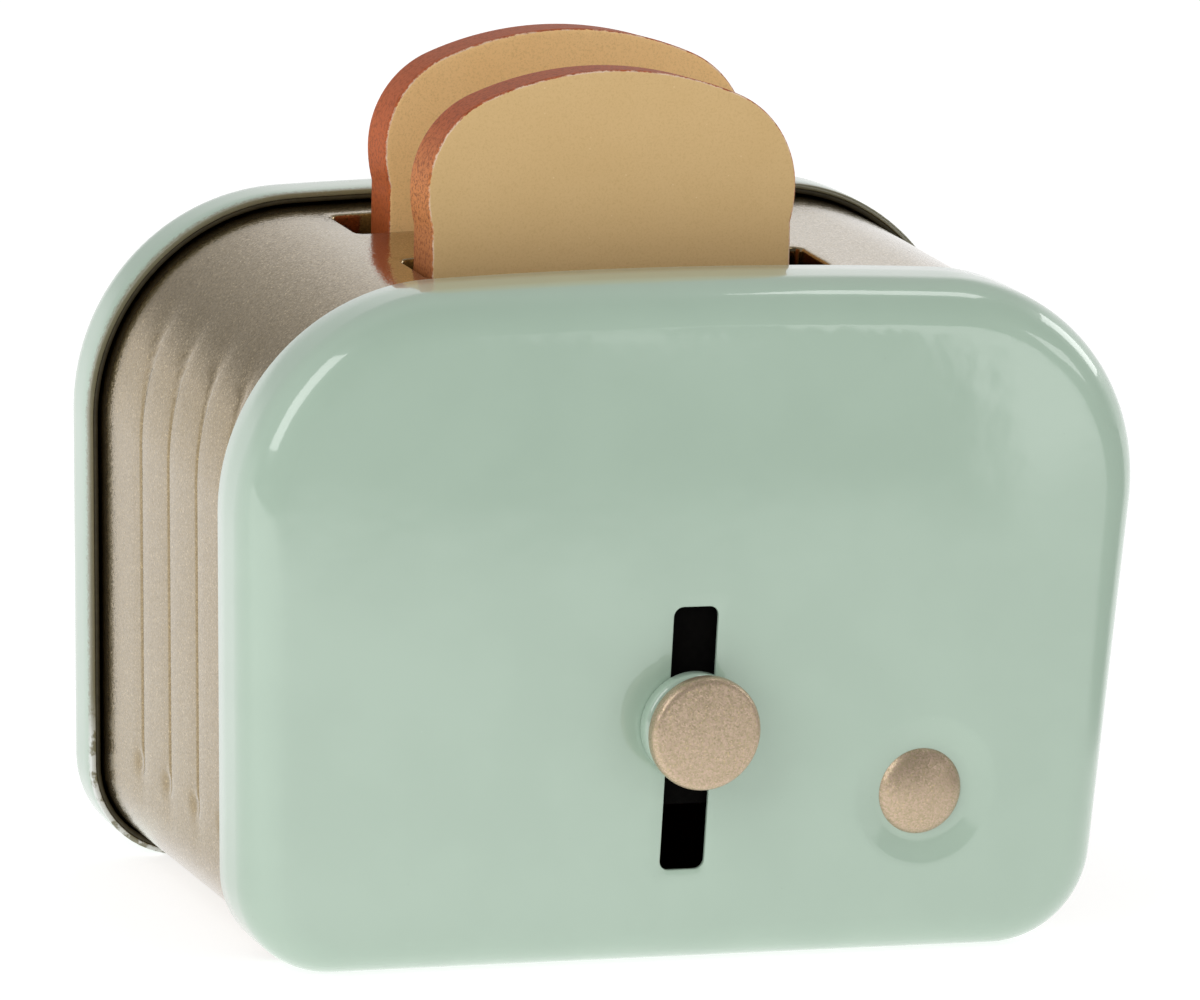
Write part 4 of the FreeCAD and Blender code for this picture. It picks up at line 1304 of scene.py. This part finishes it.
def slice_outline(spacing):
    """Right half and left half of a slice as (x, height) points with outward directions."""
    crown = np.array([0.0, slice_height - crown_radius])
    shoulder_x = slice_width / 2 - shoulder_radius
    climb = math.sqrt((crown_radius - shoulder_radius) ** 2 - shoulder_x ** 2)
    shoulder = np.array([shoulder_x, crown[1] + climb])
    step = (slice_width - slice_waist_width) / 2
    rise = shoulder[1] - waist_height
    swell_radius = (step ** 2 + rise ** 2) / (2 * step)
    swell = np.array([slice_width / 2 - swell_radius, shoulder[1]])
    foot = np.array([slice_waist_width / 2 - foot_radius, foot_radius])
    join = math.atan2(shoulder[1] - crown[1], shoulder[0] - crown[0])
    arcs = [(foot, foot_radius, -math.pi / 2, 0.0),
            (swell, swell_radius, -math.asin(rise / swell_radius), 0.0),
            (shoulder, shoulder_radius, 0.0, join), (crown, crown_radius, join, math.pi / 2)]
    points = [(0.0, 0.0)]
    for centre, radius, first, last in arcs:
        count = max(3, int(radius * abs(last - first) / spacing))
        points += [tuple(centre + radius * np.array([math.cos(a), math.sin(a)]))
                   for a in np.linspace(first, last, count + 1)]
    half = np.array([p for i, p in enumerate(points) if i == 0 or math.dist(p, points[i - 1]) > closest])
    loop = divide_loop(np.concatenate([half, half[-2:0:-1] * np.array([-1.0, 1.0])]), spacing)
    tangent = np.roll(loop, -1, axis=0) - np.roll(loop, 1, axis=0)
    away = np.stack([tangent[:, 1], -tangent[:, 0]], 1)
    return loop, away / np.linalg.norm(away, axis=1, keepdims=True)


# %% Build the slices
def bread_slice(name, node, paint):
    """One slice on its engineering solid, with rounded arrises and the border attribute."""
    low, high = (np.array(corner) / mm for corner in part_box(node))
    loop, away = slice_outline(slice_spacing)
    half = slice_thickness / 2
    rows = [(inset, -half) for inset in face_rings + (slice_arris,)]
    rows += [(slice_arris * (1 - math.sin(a)), -half + slice_arris * (1 - math.cos(a)))
             for a in np.linspace(0, math.pi / 2, 4)[1:]]
    rows += [(0.0, -half + edge_ring), (0.0, 0.0)]
    rows += [(inset, -across) for inset, across in rows[-2::-1]]
    vertices, faces, border = [], [], []
    lean = math.radians(slice_lean)
    for number, (inset, across) in enumerate(rows):
        ring = loop - away * inset
        if number:
            faces += ring_faces(len(vertices) - len(loop), len(vertices), len(loop))
        vertices += [(x, across * math.cos(lean) + h * math.sin(lean),
                      h * math.cos(lean) - across * math.sin(lean)) for x, h in ring]
        from_face = half - abs(across)
        border += [inset if from_face < 0.01 else -from_face] * len(loop)
    count = len(loop)
    faces.append(tuple(range(count)))
    faces.append(tuple(range(len(vertices) - 1, len(vertices) - count - 1, -1)))
    vertices = np.array(vertices)
    shift = (low + high) / 2 - (vertices.min(axis=0) + vertices.max(axis=0)) / 2
    piece = new_piece(name, vertices + shift, faces, paint)
    written = piece.data.attributes.new("wrap", "FLOAT", "POINT")
    written.data.foreach_set("value", border)
    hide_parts(node)
    print(name, len(piece.data.polygons), "faces, volume", outward_face_check(piece), "mm3")
    return piece


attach(bread_slice("toast_front", "bread_slice_front", bread_front_paint), "bread_front")
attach(bread_slice("toast_rear", "bread_slice_rear", bread_rear_lit_paint), "bread_rear")

# %% [markdown]
# ## The mechanism
#
# What is inside keeps its engineering shape and takes its finish: almost pure black paint behind the lever
# slot and on the tray, as painted shade of the dark inside, plain steel on the strips, clips, rails and
# rivets.

# %% Finishes on the engineering pieces
finish_of_slot = {"plain_steel": plain_steel, "dark_paint": shade_black_paint}
for subpart in frame["record"]["subparts"]:
    finish = finish_of_slot.get(subpart["material_slot"])
    if finish:
        mesh = frame["nodes"][subpart["node"]].data
        mesh.materials.clear()
        mesh.materials.append(finish)
        print(subpart["node"], "->", finish.name)

# %% [markdown]
# ## Look
#
# The colours were chosen in the plain view transform, which shows a painted white as white.

# %% Look and the end
bpy.context.scene.view_settings.view_transform = "Standard"
